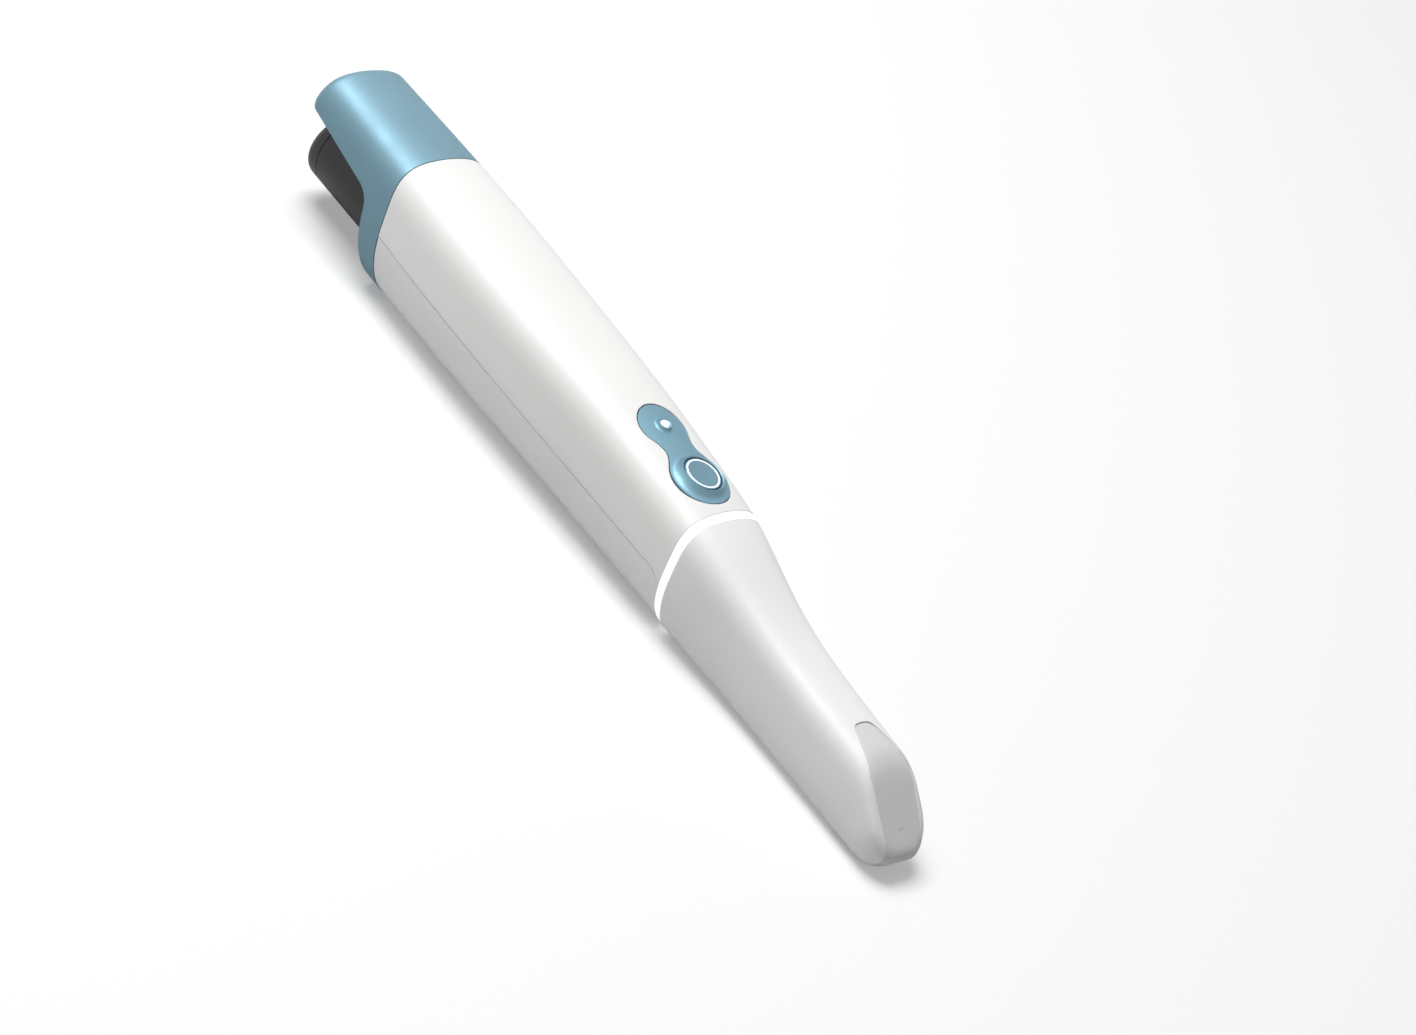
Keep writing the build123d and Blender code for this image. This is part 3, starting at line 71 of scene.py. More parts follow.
def camera_axes(azimuth, elevation, roll):
    """Right, up and forward of a camera that looks down by the elevation, then turns about its own view."""
    a, e, r = np.radians([azimuth, elevation, roll])
    forward = np.array([-math.sin(a) * math.cos(e), math.cos(a) * math.cos(e), -math.sin(e)])
    level = np.cross(forward, [0, 0, 1])
    level /= np.linalg.norm(level)
    above = np.cross(level, forward)
    right = math.cos(r) * level + math.sin(r) * above
    up = math.cos(r) * above - math.sin(r) * level
    return right, up, forward


right, up, forward = camera_axes(AZIMUTH, ELEVATION, ROLL)
place = (ACROSS * right - DOWN * up - DISTANCE * forward) * MM
camera_data = bpy.data.cameras.new("camera")
camera_data.lens = SENSOR * FOCAL_PIXELS / PICTURE_WIDTH
camera_data.sensor_width = SENSOR
camera_data.clip_end = FARTHEST
camera = bpy.data.objects.new("camera", camera_data)
turn = Matrix([[right[i], up[i], -forward[i]] for i in range(3)])
camera.matrix_world = Matrix.Translation(Vector(place)) @ turn.to_4x4()
bpy.context.scene.collection.objects.link(camera)
bpy.context.scene.camera = camera
print("camera at", np.round(place, 4), "lens", round(camera_data.lens, 1), "mm")

# %% [markdown]
# The floor is pale paper. To the camera it is lifted by a little light of its own, so that it meets the white
# of the backdrop and keeps the soft shadow of the wand. The backdrop is white to the camera and in
# reflections, and a dark grey where it lights the wand, so that the lamps do the modelling.

# %% Floor and backdrop
FLOOR_HALF = 3.0
FLOOR_COLOUR = (0.62, 0.62, 0.62, 1)
FLOOR_LIFT = 0.30
FLOOR_ROUGHNESS = 0.9
FLOOR_DROP = 0.0002
AMBIENT = 0.16


def seen_directly(tree, kinds):
    """One for rays from the camera and rays of the kinds named, and nought for those that carry light."""
    rays = tree.nodes.new("ShaderNodeLightPath")
    total = rays.outputs["Is Camera Ray"]
    for kind in kinds:
        either = tree.nodes.new("ShaderNodeMath")
        either.operation = "MAXIMUM"
        tree.links.new(total, either.inputs[0])
        tree.links.new(rays.outputs[kind], either.inputs[1])
        total = either.outputs[0]
    return total


def paper_floor():
    """White paper: a matt surface with a little light added for the camera alone."""
    material = bpy.data.materials.new("white paper")
    material.use_nodes = True
    tree = material.node_tree
    shader = tree.nodes["Principled BSDF"]
    shader.inputs["Base Color"].default_value = FLOOR_COLOUR
    shader.inputs["Roughness"].default_value = FLOOR_ROUGHNESS
    shader.inputs["Emission Color"].default_value = (1, 1, 1, 1)
    lift = tree.nodes.new("ShaderNodeMath")
    lift.operation = "MULTIPLY"
    lift.inputs[1].default_value = FLOOR_LIFT
    tree.links.new(seen_directly(tree, ()), lift.inputs[0])
    tree.links.new(lift.outputs[0], shader.inputs["Emission Strength"])
    return material


corners = [(-1, -1), (1, -1), (1, 1), (-1, 1)]
floor_points = [(x * FLOOR_HALF, y * FLOOR_HALF, -FLOOR_DROP) for x, y in corners]
floor_mesh = bpy.data.meshes.new("floor")
floor_mesh.from_pydata(floor_points, [], [(0, 1, 2, 3)])
floor = bpy.data.objects.new("floor", floor_mesh)
bpy.context.scene.collection.objects.link(floor)
floor_mesh.materials.append(paper_floor())

world = bpy.data.worlds.new("backdrop")
world.use_nodes = True
bpy.context.scene.world = world
tree = world.node_tree
level = tree.nodes.new("ShaderNodeMapRange")
level.inputs["To Min"].default_value = AMBIENT
level.inputs["To Max"].default_value = 1.0
direct = seen_directly(tree, ("Is Glossy Ray", "Is Transmission Ray"))
tree.links.new(direct, level.inputs["Value"])
tree.links.new(level.outputs["Result"], tree.nodes["Background"].inputs["Strength"])
tree.nodes["Background"].inputs["Color"].default_value = (1, 1, 1, 1)
print("floor", 2 * FLOOR_HALF, "m wide, ambient light", AMBIENT)

# %% [markdown]
# One broad lamp hangs high above the rear half, a little to the near side. It makes the top bright and leaves
# the near side a light grey and the sloping end of the tip darker. A much weaker lamp low on the near side lifts
# the shadows there a little. Each entry gives a lamp's place, what it looks at, the length of its sides in
# metres and its power in watts.

# %% Lamps
LAMPS = {
    "broad lamp above": ((-0.66, -0.30, 1.55), (0.0, 0.0, 0.02), 1.0, 34.0),
    "weak lamp beside": ((-0.30, -0.90, 0.30), (0.0, 0.0, 0.02), 0.4, 0.15),
}


def hang_lamp(name, place, target, size, power):
    """A square lamp at a place, turned so that its face looks at the target."""
    data = bpy.data.lights.new(name, "AREA")
    data.size = size
    data.energy = power
    lamp = bpy.data.objects.new(name, data)
    aim = Vector(target) - Vector(place)
    lamp.matrix_world = Matrix.Translation(place) @ aim.to_track_quat("-Z", "Y").to_matrix().to_4x4()
    bpy.context.scene.collection.objects.link(lamp)
    return lamp


for name, numbers in LAMPS.items():
    print("hung", hang_lamp(name, *numbers).name)

# %% [markdown]
# Every finish is built from the same few nodes. A slow noise lets the colour drift by a few parts in a hundred,
# a second noise breaks the gloss, and a fine one lifts the surface by a hair, as moulded plastic, paint and
# turned metal all show when they are seen close to.

# %% Finishes
MIDDLE_OF_NOISE = (0.3, 0.7)
COLOUR_NOISE = (45, 3)
GLOSS_NOISE = (160, 4)
GRAIN_DETAIL = 2
GRAIN_DEPTH = 0.0002
PAINT = {"grain": 16000, "depth": 0.03}


def noise(tree, scale, detail):
    """Noise in the piece's own coordinates; the scale is its number of waves in a metre."""
    place = tree.nodes.new("ShaderNodeTexCoord")
    node = tree.nodes.new("ShaderNodeTexNoise")
    node.inputs["Scale"].default_value = scale
    node.inputs["Detail"].default_value = detail
    tree.links.new(place.outputs["Object"], node.inputs["Vector"])
    return node.outputs["Fac"]


def between(tree, share, low, high):
    """Runs from low to high as the share runs over the middle of a noise."""
    node = tree.nodes.new("ShaderNodeMapRange")
    node.inputs["From Min"].default_value = MIDDLE_OF_NOISE[0]
    node.inputs["From Max"].default_value = MIDDLE_OF_NOISE[1]
    node.inputs["To Min"].default_value = low
    node.inputs["To Max"].default_value = high
    tree.links.new(share, node.inputs["Value"])
    return node.outputs["Result"]


def finish(name, colour, rough, metal=0.0, drift=0.03, gloss_drift=0.04, grain=9000, depth=0.02, **sockets):
    """A finish with drifting colour, broken gloss and a fine grain; further shader sockets by name."""
    material = bpy.data.materials.new(name)
    material.use_nodes = True
    tree = material.node_tree
    shader = tree.nodes["Principled BSDF"]
    shader.inputs["Metallic"].default_value = metal
    for socket, value in sockets.items():
        shader.inputs[socket.replace("_", " ")].default_value = value
    tint = tree.nodes.new("ShaderNodeMix")
    tint.data_type = "RGBA"
    tint.inputs["A"].default_value = (*[c * (1 - drift) for c in colour], 1)
    tint.inputs["B"].default_value = (*[min(1, c * (1 + drift)) for c in colour], 1)
    tree.links.new(between(tree, noise(tree, *COLOUR_NOISE), 0, 1), tint.inputs["Factor"])
    tree.links.new(tint.outputs["Result"], shader.inputs["Base Color"])
    gloss = between(tree, noise(tree, *GLOSS_NOISE), rough - gloss_drift, rough + gloss_drift)
    tree.links.new(gloss, shader.inputs["Roughness"])
    bump = tree.nodes.new("ShaderNodeBump")
    bump.inputs["Strength"].default_value = depth
    bump.inputs["Distance"].default_value = GRAIN_DEPTH
    tree.links.new(noise(tree, grain, GRAIN_DETAIL), bump.inputs["Height"])
    tree.links.new(bump.outputs["Normal"], shader.inputs["Normal"])
    return material


FINISHES = {
    "white_housing": finish("satin white housing", (0.80, 0.80, 0.79), 0.46, drift=0.01),
    "white_tip": finish("satin white tip", (0.81, 0.81, 0.805), 0.50, drift=0.01),
    # The cap is white plastic like the sleeve; its darker colour here is painted shade for its sloping end face.
    "grey_cap": finish("white cap with painted shade", (0.64, 0.64, 0.635), 0.50, drift=0.01),
    "blue_housing": finish("blue metallic paint", (0.17, 0.30, 0.37), 0.54, metal=0.55, **PAINT),
    "blue_plate": finish("blue metallic plate", (0.175, 0.315, 0.39), 0.50, metal=0.75, **PAINT),
    "blue_button": finish("blue metallic button", (0.155, 0.28, 0.355), 0.46, metal=0.75, **PAINT),
    "black_battery": finish("grained black case", (0.022, 0.023, 0.024), 0.42, grain=6000, depth=0.08),
    "light_ring": finish("lit ring", (0.9, 0.9, 0.9), 0.3, Emission_Color=(1, 1, 1, 1), Emission_Strength=0.55),
    "status_lens": finish("lit lens", (0.9, 0.9, 0.9), 0.3, Emission_Color=(1, 1, 1, 1), Emission_Strength=0.8),
    "mirror": finish("front mirror", (0.93, 0.94, 0.95), 0.06, metal=1.0, gloss_drift=0.01, depth=0.0),
    "optical_glass": finish("coated glass", (0.85, 0.93, 0.92), 0.05, gloss_drift=0.01, depth=0.0,
                            Transmission_Weight=0.9, IOR=1.5),
    "black_plastic": finish("black moulding", (0.030, 0.030, 0.033), 0.5, depth=0.08),
    "black_metal": finish("black anodised metal", (0.05, 0.05, 0.055), 0.38, metal=0.7, depth=0.05),
    "frame_metal": finish("machined frame", (0.62, 0.63, 0.65), 0.32, metal=1.0, grain=3000, depth=0.05),
    "steel": finish("ground steel", (0.56, 0.57, 0.58), 0.26, metal=1.0, grain=5000, depth=0.05),
    "magnet": finish("nickel plating", (0.66, 0.64, 0.60), 0.16, metal=1.0),
    "copper": finish("wound copper wire", (0.72, 0.32, 0.16), 0.3, metal=1.0, grain=2500, depth=0.2),
    "gold": finish("gold plating", (0.85, 0.62, 0.26), 0.22, metal=1.0),
    "circuit_board": finish("green circuit board", (0.02, 0.13, 0.07), 0.35, drift=0.15),
    "chip": finish("moulded chip", (0.035, 0.035, 0.038), 0.5, depth=0.1),
    "led": finish("clear lamp body", (0.85, 0.82, 0.62), 0.2),
    "seal_rubber": finish("soft black rubber", (0.035, 0.035, 0.035), 0.75, depth=0.1),
    "cell_sleeve": finish("blue cell sleeve", (0.03, 0.10, 0.30), 0.25),
}
slot_of = {entry["node"]: entry["material_slot"] for entry in frame["record"]["subparts"]}
for name, node in frame["nodes"].items():
    node.data.materials.clear()
    node.data.materials.append(FINISHES[slot_of[name]])
print("finishes:", len(FINISHES))

# %% [markdown]
# The housing and the tip are smooth skins over a row of cross-sections. Each section is a superellipse: a power
# of two gives an ellipse, and a higher power squares its corners. The sections could be joined by bridging
# edge loops by hand, but a formula keeps the same shape at any fineness, and lets every piece of the housing
# lie on one common skin. A natural cubic, the line that a thin spring takes through fixed points, carries the
# sizes from one section to the next.

# %% Skin of the housing
# Each row gives x, half width, height and the height of the widest place.
BODY = np.array([
    (-140.0, 16.1, 41.8, 21.9),
    (-110.0, 17.3, 41.9, 21.9),
    (-75.0, 18.7, 41.4, 21.6),
    (-35.0, 18.4, 40.3, 21.1),
    (0.0, 17.1, 39.1, 20.4),
    (22.0, 16.3, 37.3, 19.5),
    (36.0, 15.8, 35.8, 18.7),
    (46.0, 15.3, 34.3, 17.9),
])
BODY_CORNER = 5.6
BODY_CROWN = 2.7
BODY_BELLY = 2.25
BELLY_SINK = 0.3
SIDE_TAPER = 0.05
HALVINGS = 40


def natural_cubic(knots, values, x):
    """The curve of least bend through the knots: between two knots a cubic, with its bends solved at once."""
    step = np.diff(knots)
    inner = np.arange(1, len(knots) - 1)
    system = np.eye(len(knots))
    system[inner, inner - 1] = step[:-1]
    system[inner, inner] = 2 * (step[:-1] + step[1:])
    system[inner, inner + 1] = step[1:]
    change = np.zeros(len(knots))
    change[1:-1] = 6 * np.diff(np.diff(values) / step)
    bend = np.linalg.solve(system, change)
    i = np.clip(np.searchsorted(knots, x) - 1, 0, len(step) - 1)
    h, before, after = step[i], x - knots[i], knots[i + 1] - x
    line = (values[i] * after + values[i + 1] * before) / h
    return line + (bend[i] * (after ** 3 / h - h * after) + bend[i + 1] * (before ** 3 / h - h * before)) / 6


def body_point(x, angle, inset=0.0):
    """The skin's y and z at x, in a direction from the section's middle.

    With reach and rise as the point's shares of the section's half width and height, reach and rise to the
    section's power add up to one. The top is lowered by the crown times the square of the reach, the sides
    lean in by the taper, and the belly is cut flat at the floor.
    """
    half, height, widest = (natural_cubic(BODY[:, 0], BODY[:, column], x) for column in (1, 2, 3))
    away, rise = np.cos(angle), np.abs(np.sin(angle))
    upper = np.sin(angle) >= 0
    power = np.where(upper, BODY_CORNER, BODY_BELLY)
    size = (np.abs(away) ** power + rise ** power) ** (1 / power)
    reach, rise = away / size, rise / size
    y = (half - inset) * reach * np.where(upper, 1 - SIDE_TAPER * rise, 1)
    above = widest + (height - inset - widest - BODY_CROWN * reach ** 2) * rise
    below = widest - (widest + BELLY_SINK - inset) * rise
    return y, np.maximum(np.where(upper, above, below), 0)


def stacked(x, y, z):
    """One grid of points from three grids of the same shape."""
    return np.stack(np.broadcast_arrays(x, y, z), axis=-1)


print("widest place of the housing:", np.round(body_point(np.array(-75.0), np.array(0.0)), 2), "mm")

# %% [markdown]
# A piece is made from one or more grids of points. Grids that share an edge are merged there, and the faces are
# turned outward before the wall gets its thickness. Solidify gives a shell its wall, on the inner side, and a
# small Bevel rounds every sharp edge, because real moulded edges always catch a thin line of light.

# %% From grids to pieces
MERGE = 0.000004
EDGE_ANGLE = math.radians(33)


def quads(rows, columns, closed, keep=None):
    """Four-cornered faces over a grid of numbered points; a closed grid joins its last column to its first."""
    number = np.arange(rows * columns).reshape(rows, columns)
    if closed:
        number = np.hstack([number, number[:, :1]])
    faces = np.stack([number[:-1, :-1], number[1:, :-1], number[1:, 1:], number[:-1, 1:]], axis=-1)
    return faces[keep] if keep is not None else faces.reshape(-1, 4)


def piece(name, grids, body, stands_for, middle, wall=0.0, edge=0.0, steps=2):
    """Makes a piece from grids of points in millimetres, with its wall, rounded edges and place in the model.

    Each grid is its points, whether it closes on itself, and which of its faces are kept. The middle is a
    point inside the piece, and the faces look away from it.
    """
    points, faces, count = [], [], 0
    for grid, closed, keep in grids:
        rows, columns = grid.shape[:2]
        points.append(grid.reshape(-1, 3) * MM)
        faces.append(quads(rows, columns, closed, keep) + count)
        count += rows * columns
    mesh = bpy.data.meshes.new(name)
    mesh.from_pydata(np.concatenate(points).tolist(), [], np.concatenate(faces).tolist())
    shape = bmesh.new()
    shape.from_mesh(mesh)
    bmesh.ops.remove_doubles(shape, verts=shape.verts, dist=MERGE)
    bmesh.ops.dissolve_degenerate(shape, edges=shape.edges, dist=MERGE)
    bmesh.ops.recalc_face_normals(shape, faces=shape.faces)
    inside = Vector(middle) * MM
    outward = sum(f.calc_area() * f.normal.dot(f.calc_center_median() - inside) for f in shape.faces)
    if outward < 0:
        bmesh.ops.reverse_faces(shape, faces=shape.faces)
    shape.to_mesh(mesh)
    shape.free()
    mesh.polygons.foreach_set("use_smooth", np.ones(len(mesh.polygons), dtype=bool))
    made = bpy.data.objects.new(name, mesh)
    bpy.context.scene.collection.objects.link(made)
    if wall:
        solid = made.modifiers.new("wall", "SOLIDIFY")
        solid.thickness = wall * MM
        solid.offset = -1
    if edge:
        bevel = made.modifiers.new("rounded edges", "BEVEL")
        bevel.width = edge * MM
        bevel.segments = steps
        bevel.limit_method = "ANGLE"
        bevel.angle_limit = EDGE_ANGLE
        bevel.harden_normals = True
    slot = slot_of[stands_for]
    mesh.materials.append(FINISHES[slot])
    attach(made, body)
    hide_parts(stands_for)
    print(name, "has", len(mesh.polygons), "faces before its wall and edges")


print("edges sharper than", round(math.degrees(EDGE_ANGLE)), "degrees are rounded")

# %% [markdown]
# The housing is two shells. The upper one runs from the seam behind to the light ring in front, and down to
# the parting line low on each side. The lower one is set in by a hair, so that the parting line reads as a
# fine step. Both ends lean, so x and height depend on each other, and a few rounds of working one out from the
# other settle them.

# %% Seams and parting line
SEAM = (-87.6, -0.233)
RING = (42.5, -0.152)
SEAM_GAP = 0.2
RING_GAP = 0.05
PARTING = ((-92.3, 20.2), (31.0, 17.0), (37.0, 16.5), (40.3, 14.6))
PARTING_GAP = 0.12
SETTLE_ROUNDS = 12


def leaning(seam, z, shift=0.0):
    """The x of a seam at a height: its foot, and its lean times the height."""
    return seam[0] + seam[1] * z + shift


def circle_through(a, b, c):
    """Centre and radius of the circle through three points of the side view."""
    system = 2 * np.array([np.subtract(b, a), np.subtract(c, a)])
    centre = np.linalg.solve(system, [np.dot(b, b) - np.dot(a, a), np.dot(c, c) - np.dot(a, a)])
    return centre, math.dist(centre, a)


BEND_CENTRE, BEND_RADIUS = circle_through(*PARTING[1:])


def parting_height(x):
    """Height of the parting line: straight, and near the ring an arc down round the front."""
    (x0, z0), (x1, z1) = PARTING[:2]
    straight = z0 + (z1 - z0) * (x - x0) / (x1 - x0)
    drop = np.sqrt(np.maximum(BEND_RADIUS ** 2 - (x - BEND_CENTRE[0]) ** 2, 0))
    return np.where(x < x1, straight, BEND_CENTRE[1] + drop)


def parting_angle(x, shift, inset):
    """Direction in which the skin crosses the parting line, below the widest place."""
    widest = natural_cubic(BODY[:, 0], BODY[:, 3], x)
    rise = (widest - parting_height(x) - shift) / (widest + BELLY_SINK - inset)
    reach = (1 - rise ** BODY_BELLY) ** (1 / BODY_BELLY)
    return -np.arctan2(rise, reach)


def shell_grid(upper, rows, columns, inset):
    """A shell between the seam and the ring, from parting line to parting line over its own half."""
    along, around = np.meshgrid(np.linspace(0, 1, rows), np.linspace(0, 1, columns), indexing="ij")
    x = SEAM[0] + (RING[0] - SEAM[0]) * along
    shift = PARTING_GAP / 2 if upper else -PARTING_GAP / 2
    for settle in range(SETTLE_ROUNDS):
        start = parting_angle(x, shift, inset)
        sweep = math.pi - 2 * start if upper else math.pi + 2 * start
        angle = start + sweep * around if upper else math.pi - start + sweep * around
        y, z = body_point(x, angle, inset)
        rear, front = leaning(SEAM, z, SEAM_GAP / 2), leaning(RING, z, -RING_GAP)
        x = rear + (front - rear) * along
    return stacked(x, y, z)


print("the parting line bends down with a radius of", round(BEND_RADIUS, 1), "mm")

# %% [markdown]
# The control plate lies in an opening shaped like a peanut. A cutter with a Boolean would leave long thin
# faces round it, and the smooth top would show them. Instead a window is left out of the upper shell's grid,
# and rings of faces close in from the window's edge to the opening, each ring a little further along.

# %% Outline of the control plate
LIGHT_X = 6.8
BUTTON_X = 24.9
REAR_SECTION, FRONT_SECTION = BODY[4], BODY[5]
PLATE_SLOPE = math.atan2(FRONT_SECTION[2] - REAR_SECTION[2], FRONT_SECTION[0] - REAR_SECTION[0])
LIGHT_Z = REAR_SECTION[2] + math.tan(PLATE_SLOPE) * LIGHT_X
BUTTON_U = (BUTTON_X - LIGHT_X) / math.cos(PLATE_SLOPE)
LIGHT_LOBE = 7.6
BUTTON_LOBE = 9.1
NECK_HALF = 5.3
NECK_SHARE = 0.46
NECK_U = NECK_SHARE * BUTTON_U
BUTTON_TURN = math.radians(123.4)
LIGHT_TURN = math.radians(63.2)
INTO_NECK = np.array([-0.835, -0.55])
OUT_OF_NECK = np.array([-0.89, 0.45])
PAST_NECK = np.array([-1, 0.0])
CURVE_PULL = 1.1
ARC_STEPS = 60
CURVE_STEPS = 30
PLATE_GAP = 0.32


def hermite(start, end, leave, arrive, steps):
    """Cubic from one point to another that leaves and arrives along given directions."""
    t = np.linspace(0, 1, steps)[:, None]
    blend = (2 * t ** 3 - 3 * t ** 2 + 1, t ** 3 - 2 * t ** 2 + t, -2 * t ** 3 + 3 * t ** 2, t ** 3 - t ** 2)
    return blend[0] * start + blend[1] * leave + blend[2] * end + blend[3] * arrive


def half_outline(grow):
    """The outline's left half in the plate's plane, from the button's front round to the light's rear.

    Two arcs of circles, joined by two cubics that meet at the neck, all moved out by the same amount.
    """
    light, button, neck = LIGHT_LOBE + grow, BUTTON_LOBE + grow, NECK_HALF + grow
    turn = np.linspace(0, BUTTON_TURN, ARC_STEPS)[:, None]
    front = np.hstack([BUTTON_U + button * np.cos(turn), button * np.sin(turn)])
    turn = np.linspace(LIGHT_TURN, math.pi, ARC_STEPS)[:, None]
    rear = np.hstack([light * np.cos(turn), light * np.sin(turn)])
    waist = np.array([NECK_U, neck])
    near, far = (front[-1, 0] - waist[0]) * CURVE_PULL, (waist[0] - rear[0, 0]) * CURVE_PULL
    into = hermite(front[-1], waist, INTO_NECK * near, PAST_NECK * near, CURVE_STEPS)
    out = hermite(waist, rear[0], PAST_NECK * far, OUT_OF_NECK * far, CURVE_STEPS)
    return np.vstack([front, into[1:], out[1:], rear[1:]])


def along_line(line, shares):
    """Points of a line at given shares of its length."""
    length = np.concatenate([[0], np.cumsum(np.linalg.norm(np.diff(line, axis=0), axis=1))])
    places = shares * length[-1]
    return np.stack([np.interp(places, length, line[:, k]) for k in range(line.shape[1])], axis=-1)


def whole_outline(grow):
    """The closed outline, from the button's front round both sides and back."""
    half = half_outline(grow)
    return np.vstack([half, half[-2::-1] * [1, -1]])


def plan(outline):
    """From the plate's own plane to x and y seen from above."""
    return np.stack([LIGHT_X + outline[..., 0] * math.cos(PLATE_SLOPE), outline[..., 1]], axis=-1)


def top_height(x, y, inset=0.0):
    """Height of the skin's top above a place in the plan, found by halving the range of directions."""
    low, high = np.zeros_like(x), np.full_like(x, math.pi / 2)
    for halving in range(HALVINGS):
        angle = (low + high) / 2
        outside = body_point(x, angle, inset)[0] > np.abs(y)
        low, high = np.where(outside, angle, low), np.where(outside, high, angle)
    return body_point(x, (low + high) / 2, inset)[1]


print("outline of the plate is", round(float(np.ptp(half_outline(0)[:, 0])), 1), "mm long")

# %% [markdown]
# The window's edge, followed once round, is the outermost ring of faces. Places at the same shares of the
# opening's outline make the innermost one, and every ring between them is lifted onto the skin. The lower shell
# needs no window.

# %% Shells
SHELL_WALL = 1.8
SHELL_EDGE = 0.18
SHELL_ROWS = 91
SHELL_COLUMNS = 97
BELLY_COLUMNS = 81
HOUSING_MIDDLE = (-25, 0, 20)
WINDOW_REAR = -7.0
WINDOW_SIDE = 12.6
WINDOW_FLOOR = 25
RINGS = 9

skin = shell_grid(True, SHELL_ROWS, SHELL_COLUMNS, 0.0)
first_row = int(np.argmax(skin[:, SHELL_COLUMNS // 2, 0] > WINDOW_REAR))
crossing = (np.abs(skin[-1, :, 1]) < WINDOW_SIDE) & (skin[-1, :, 2] > WINDOW_FLOOR)
columns = np.flatnonzero(crossing)
left, right_side = columns[0], columns[-1]
keep = np.ones((SHELL_ROWS - 1, SHELL_COLUMNS - 1), dtype=bool)
keep[first_row:, left:right_side] = False
loop = np.concatenate([
    skin[-1, SHELL_COLUMNS // 2:left:-1],
    skin[:first_row:-1, left],
    skin[first_row, left:right_side],
    skin[first_row:-1, right_side],
    skin[-1, right_side:SHELL_COLUMNS // 2:-1],
])
steps = np.linalg.norm(np.diff(loop, axis=0, append=loop[:1]), axis=1)
shares = np.concatenate([[0], np.cumsum(steps)[:-1]]) / steps.sum()
hole = plan(along_line(whole_outline(PLATE_GAP), shares))
ease = np.linspace(0, 1, RINGS)[:, None, None]
rings = loop[None, :, :2] * (1 - ease) + hole[None] * ease
heights = top_height(rings[..., 0], rings[..., 1])
heights[0] = loop[:, 2]
collar = stacked(rings[..., 0], rings[..., 1], heights)
piece("upper_shell_skin", [(skin, False, keep), (collar, True, None)], "body", "upper_shell",
      HOUSING_MIDDLE, SHELL_WALL, SHELL_EDGE)
belly = shell_grid(False, SHELL_ROWS, BELLY_COLUMNS, PARTING_GAP)
piece("lower_shell_skin", [(belly, False, None)], "body", "lower_shell", HOUSING_MIDDLE, SHELL_WALL, SHELL_EDGE)

# %% [markdown]
# The rear housing is a band round the body whose upper half runs back as a hood over the battery. Its rear
# edge is easiest to draw from the side: up and slightly back from the floor, round a hollow corner, back
# along the lip, and up over the end. Each line of the grid runs along the skin from the seam to that edge. The
# hood's end is rounded by drawing the section smaller and smaller over the last few millimetres, along a
# quarter of a circle, and a small panel closes what is left.

# %% Rear housing
REAR_END = -137.0
HOOD_EDGE = ((-94.6, 0.0), (-102.8, 26.0), (-134.0, 30.2), (REAR_END, 33.0), (REAR_END, 60.0))
HOOD_CORNERS = (7.0, 2.5, 1.2)
HOOD_ROUND = 3.4
HOOD_TURNS = ((-90, 7, 40), (7, 34, 60), (34, 90, 31))
HOOD_ROWS = 36
HOOD_HALVINGS = 50
FOREMOST = -90.0
SEAM_GUESS = -95.0
SEAM_ROUNDS = 8
PANEL_ROWS = 10
PANEL_REACH = 0.02
REAR_MIDDLE = (-112, 0, 30)
REAR_WALL = 2.0
REAR_EDGE = 0.14


def rounded_line(points, radii, steps=9):
    """An open line whose inner corners are arcs of the given radii, each touching both of its runs."""
    points = [np.array(point, dtype=float) for point in points]
    line = [points[0][None]]
    for before, corner, after, radius in zip(points, points[1:], points[2:], radii):
        back = (before - corner) / np.linalg.norm(before - corner)
        on = (after - corner) / np.linalg.norm(after - corner)
        half = math.acos(float(np.clip(back @ on, -1, 1))) / 2
        centre = corner + (back + on) / np.linalg.norm(back + on) * radius / math.sin(half)
        first = corner + back * radius / math.tan(half) - centre
        last = corner + on * radius / math.tan(half) - centre
        sweep = math.pi - 2 * half
        t = np.linspace(0, 1, steps)[:, None]
        line.append(centre + (np.sin((1 - t) * sweep) * first + np.sin(t * sweep) * last) / math.sin(sweep))
    return np.vstack([*line, points[-1][None]])


hood_edge = rounded_line(HOOD_EDGE, HOOD_CORNERS)


def hood_inset(x):
    """How far the section is drawn in near the hood's end: a quarter circle."""
    depth = np.clip(HOOD_ROUND - (x - REAR_END), 0, HOOD_ROUND)
    return HOOD_ROUND - np.sqrt(HOOD_ROUND ** 2 - depth ** 2)


def hood_point(x, angle):
    """The skin's y and z, drawn in near the hood's end."""
    return body_point(x, angle, hood_inset(x))


def hood_grid(angles, rows):
    """Lines along the skin from the seam to the hood's rear edge, closer together toward the edge."""
    low, high = np.full_like(angles, REAR_END), np.full_like(angles, FOREMOST)
    for halving in range(HOOD_HALVINGS):
        x = (low + high) / 2
        behind = x < np.interp(hood_point(x, angles)[1], hood_edge[:, 1], hood_edge[:, 0])
        low, high = np.where(behind, x, low), np.where(behind, high, x)
    end = (low + high) / 2
    seam = np.full_like(angles, SEAM_GUESS)
    for settle in range(SEAM_ROUNDS):
        seam = leaning(SEAM, body_point(seam, angles)[1], -SEAM_GAP / 2)
    share = np.sin(np.linspace(0, math.pi / 2, rows))[:, None]
    x = seam + (end - seam) * share
    y, z = hood_point(x, angles[None] + 0 * x)
    return stacked(x, y, z)


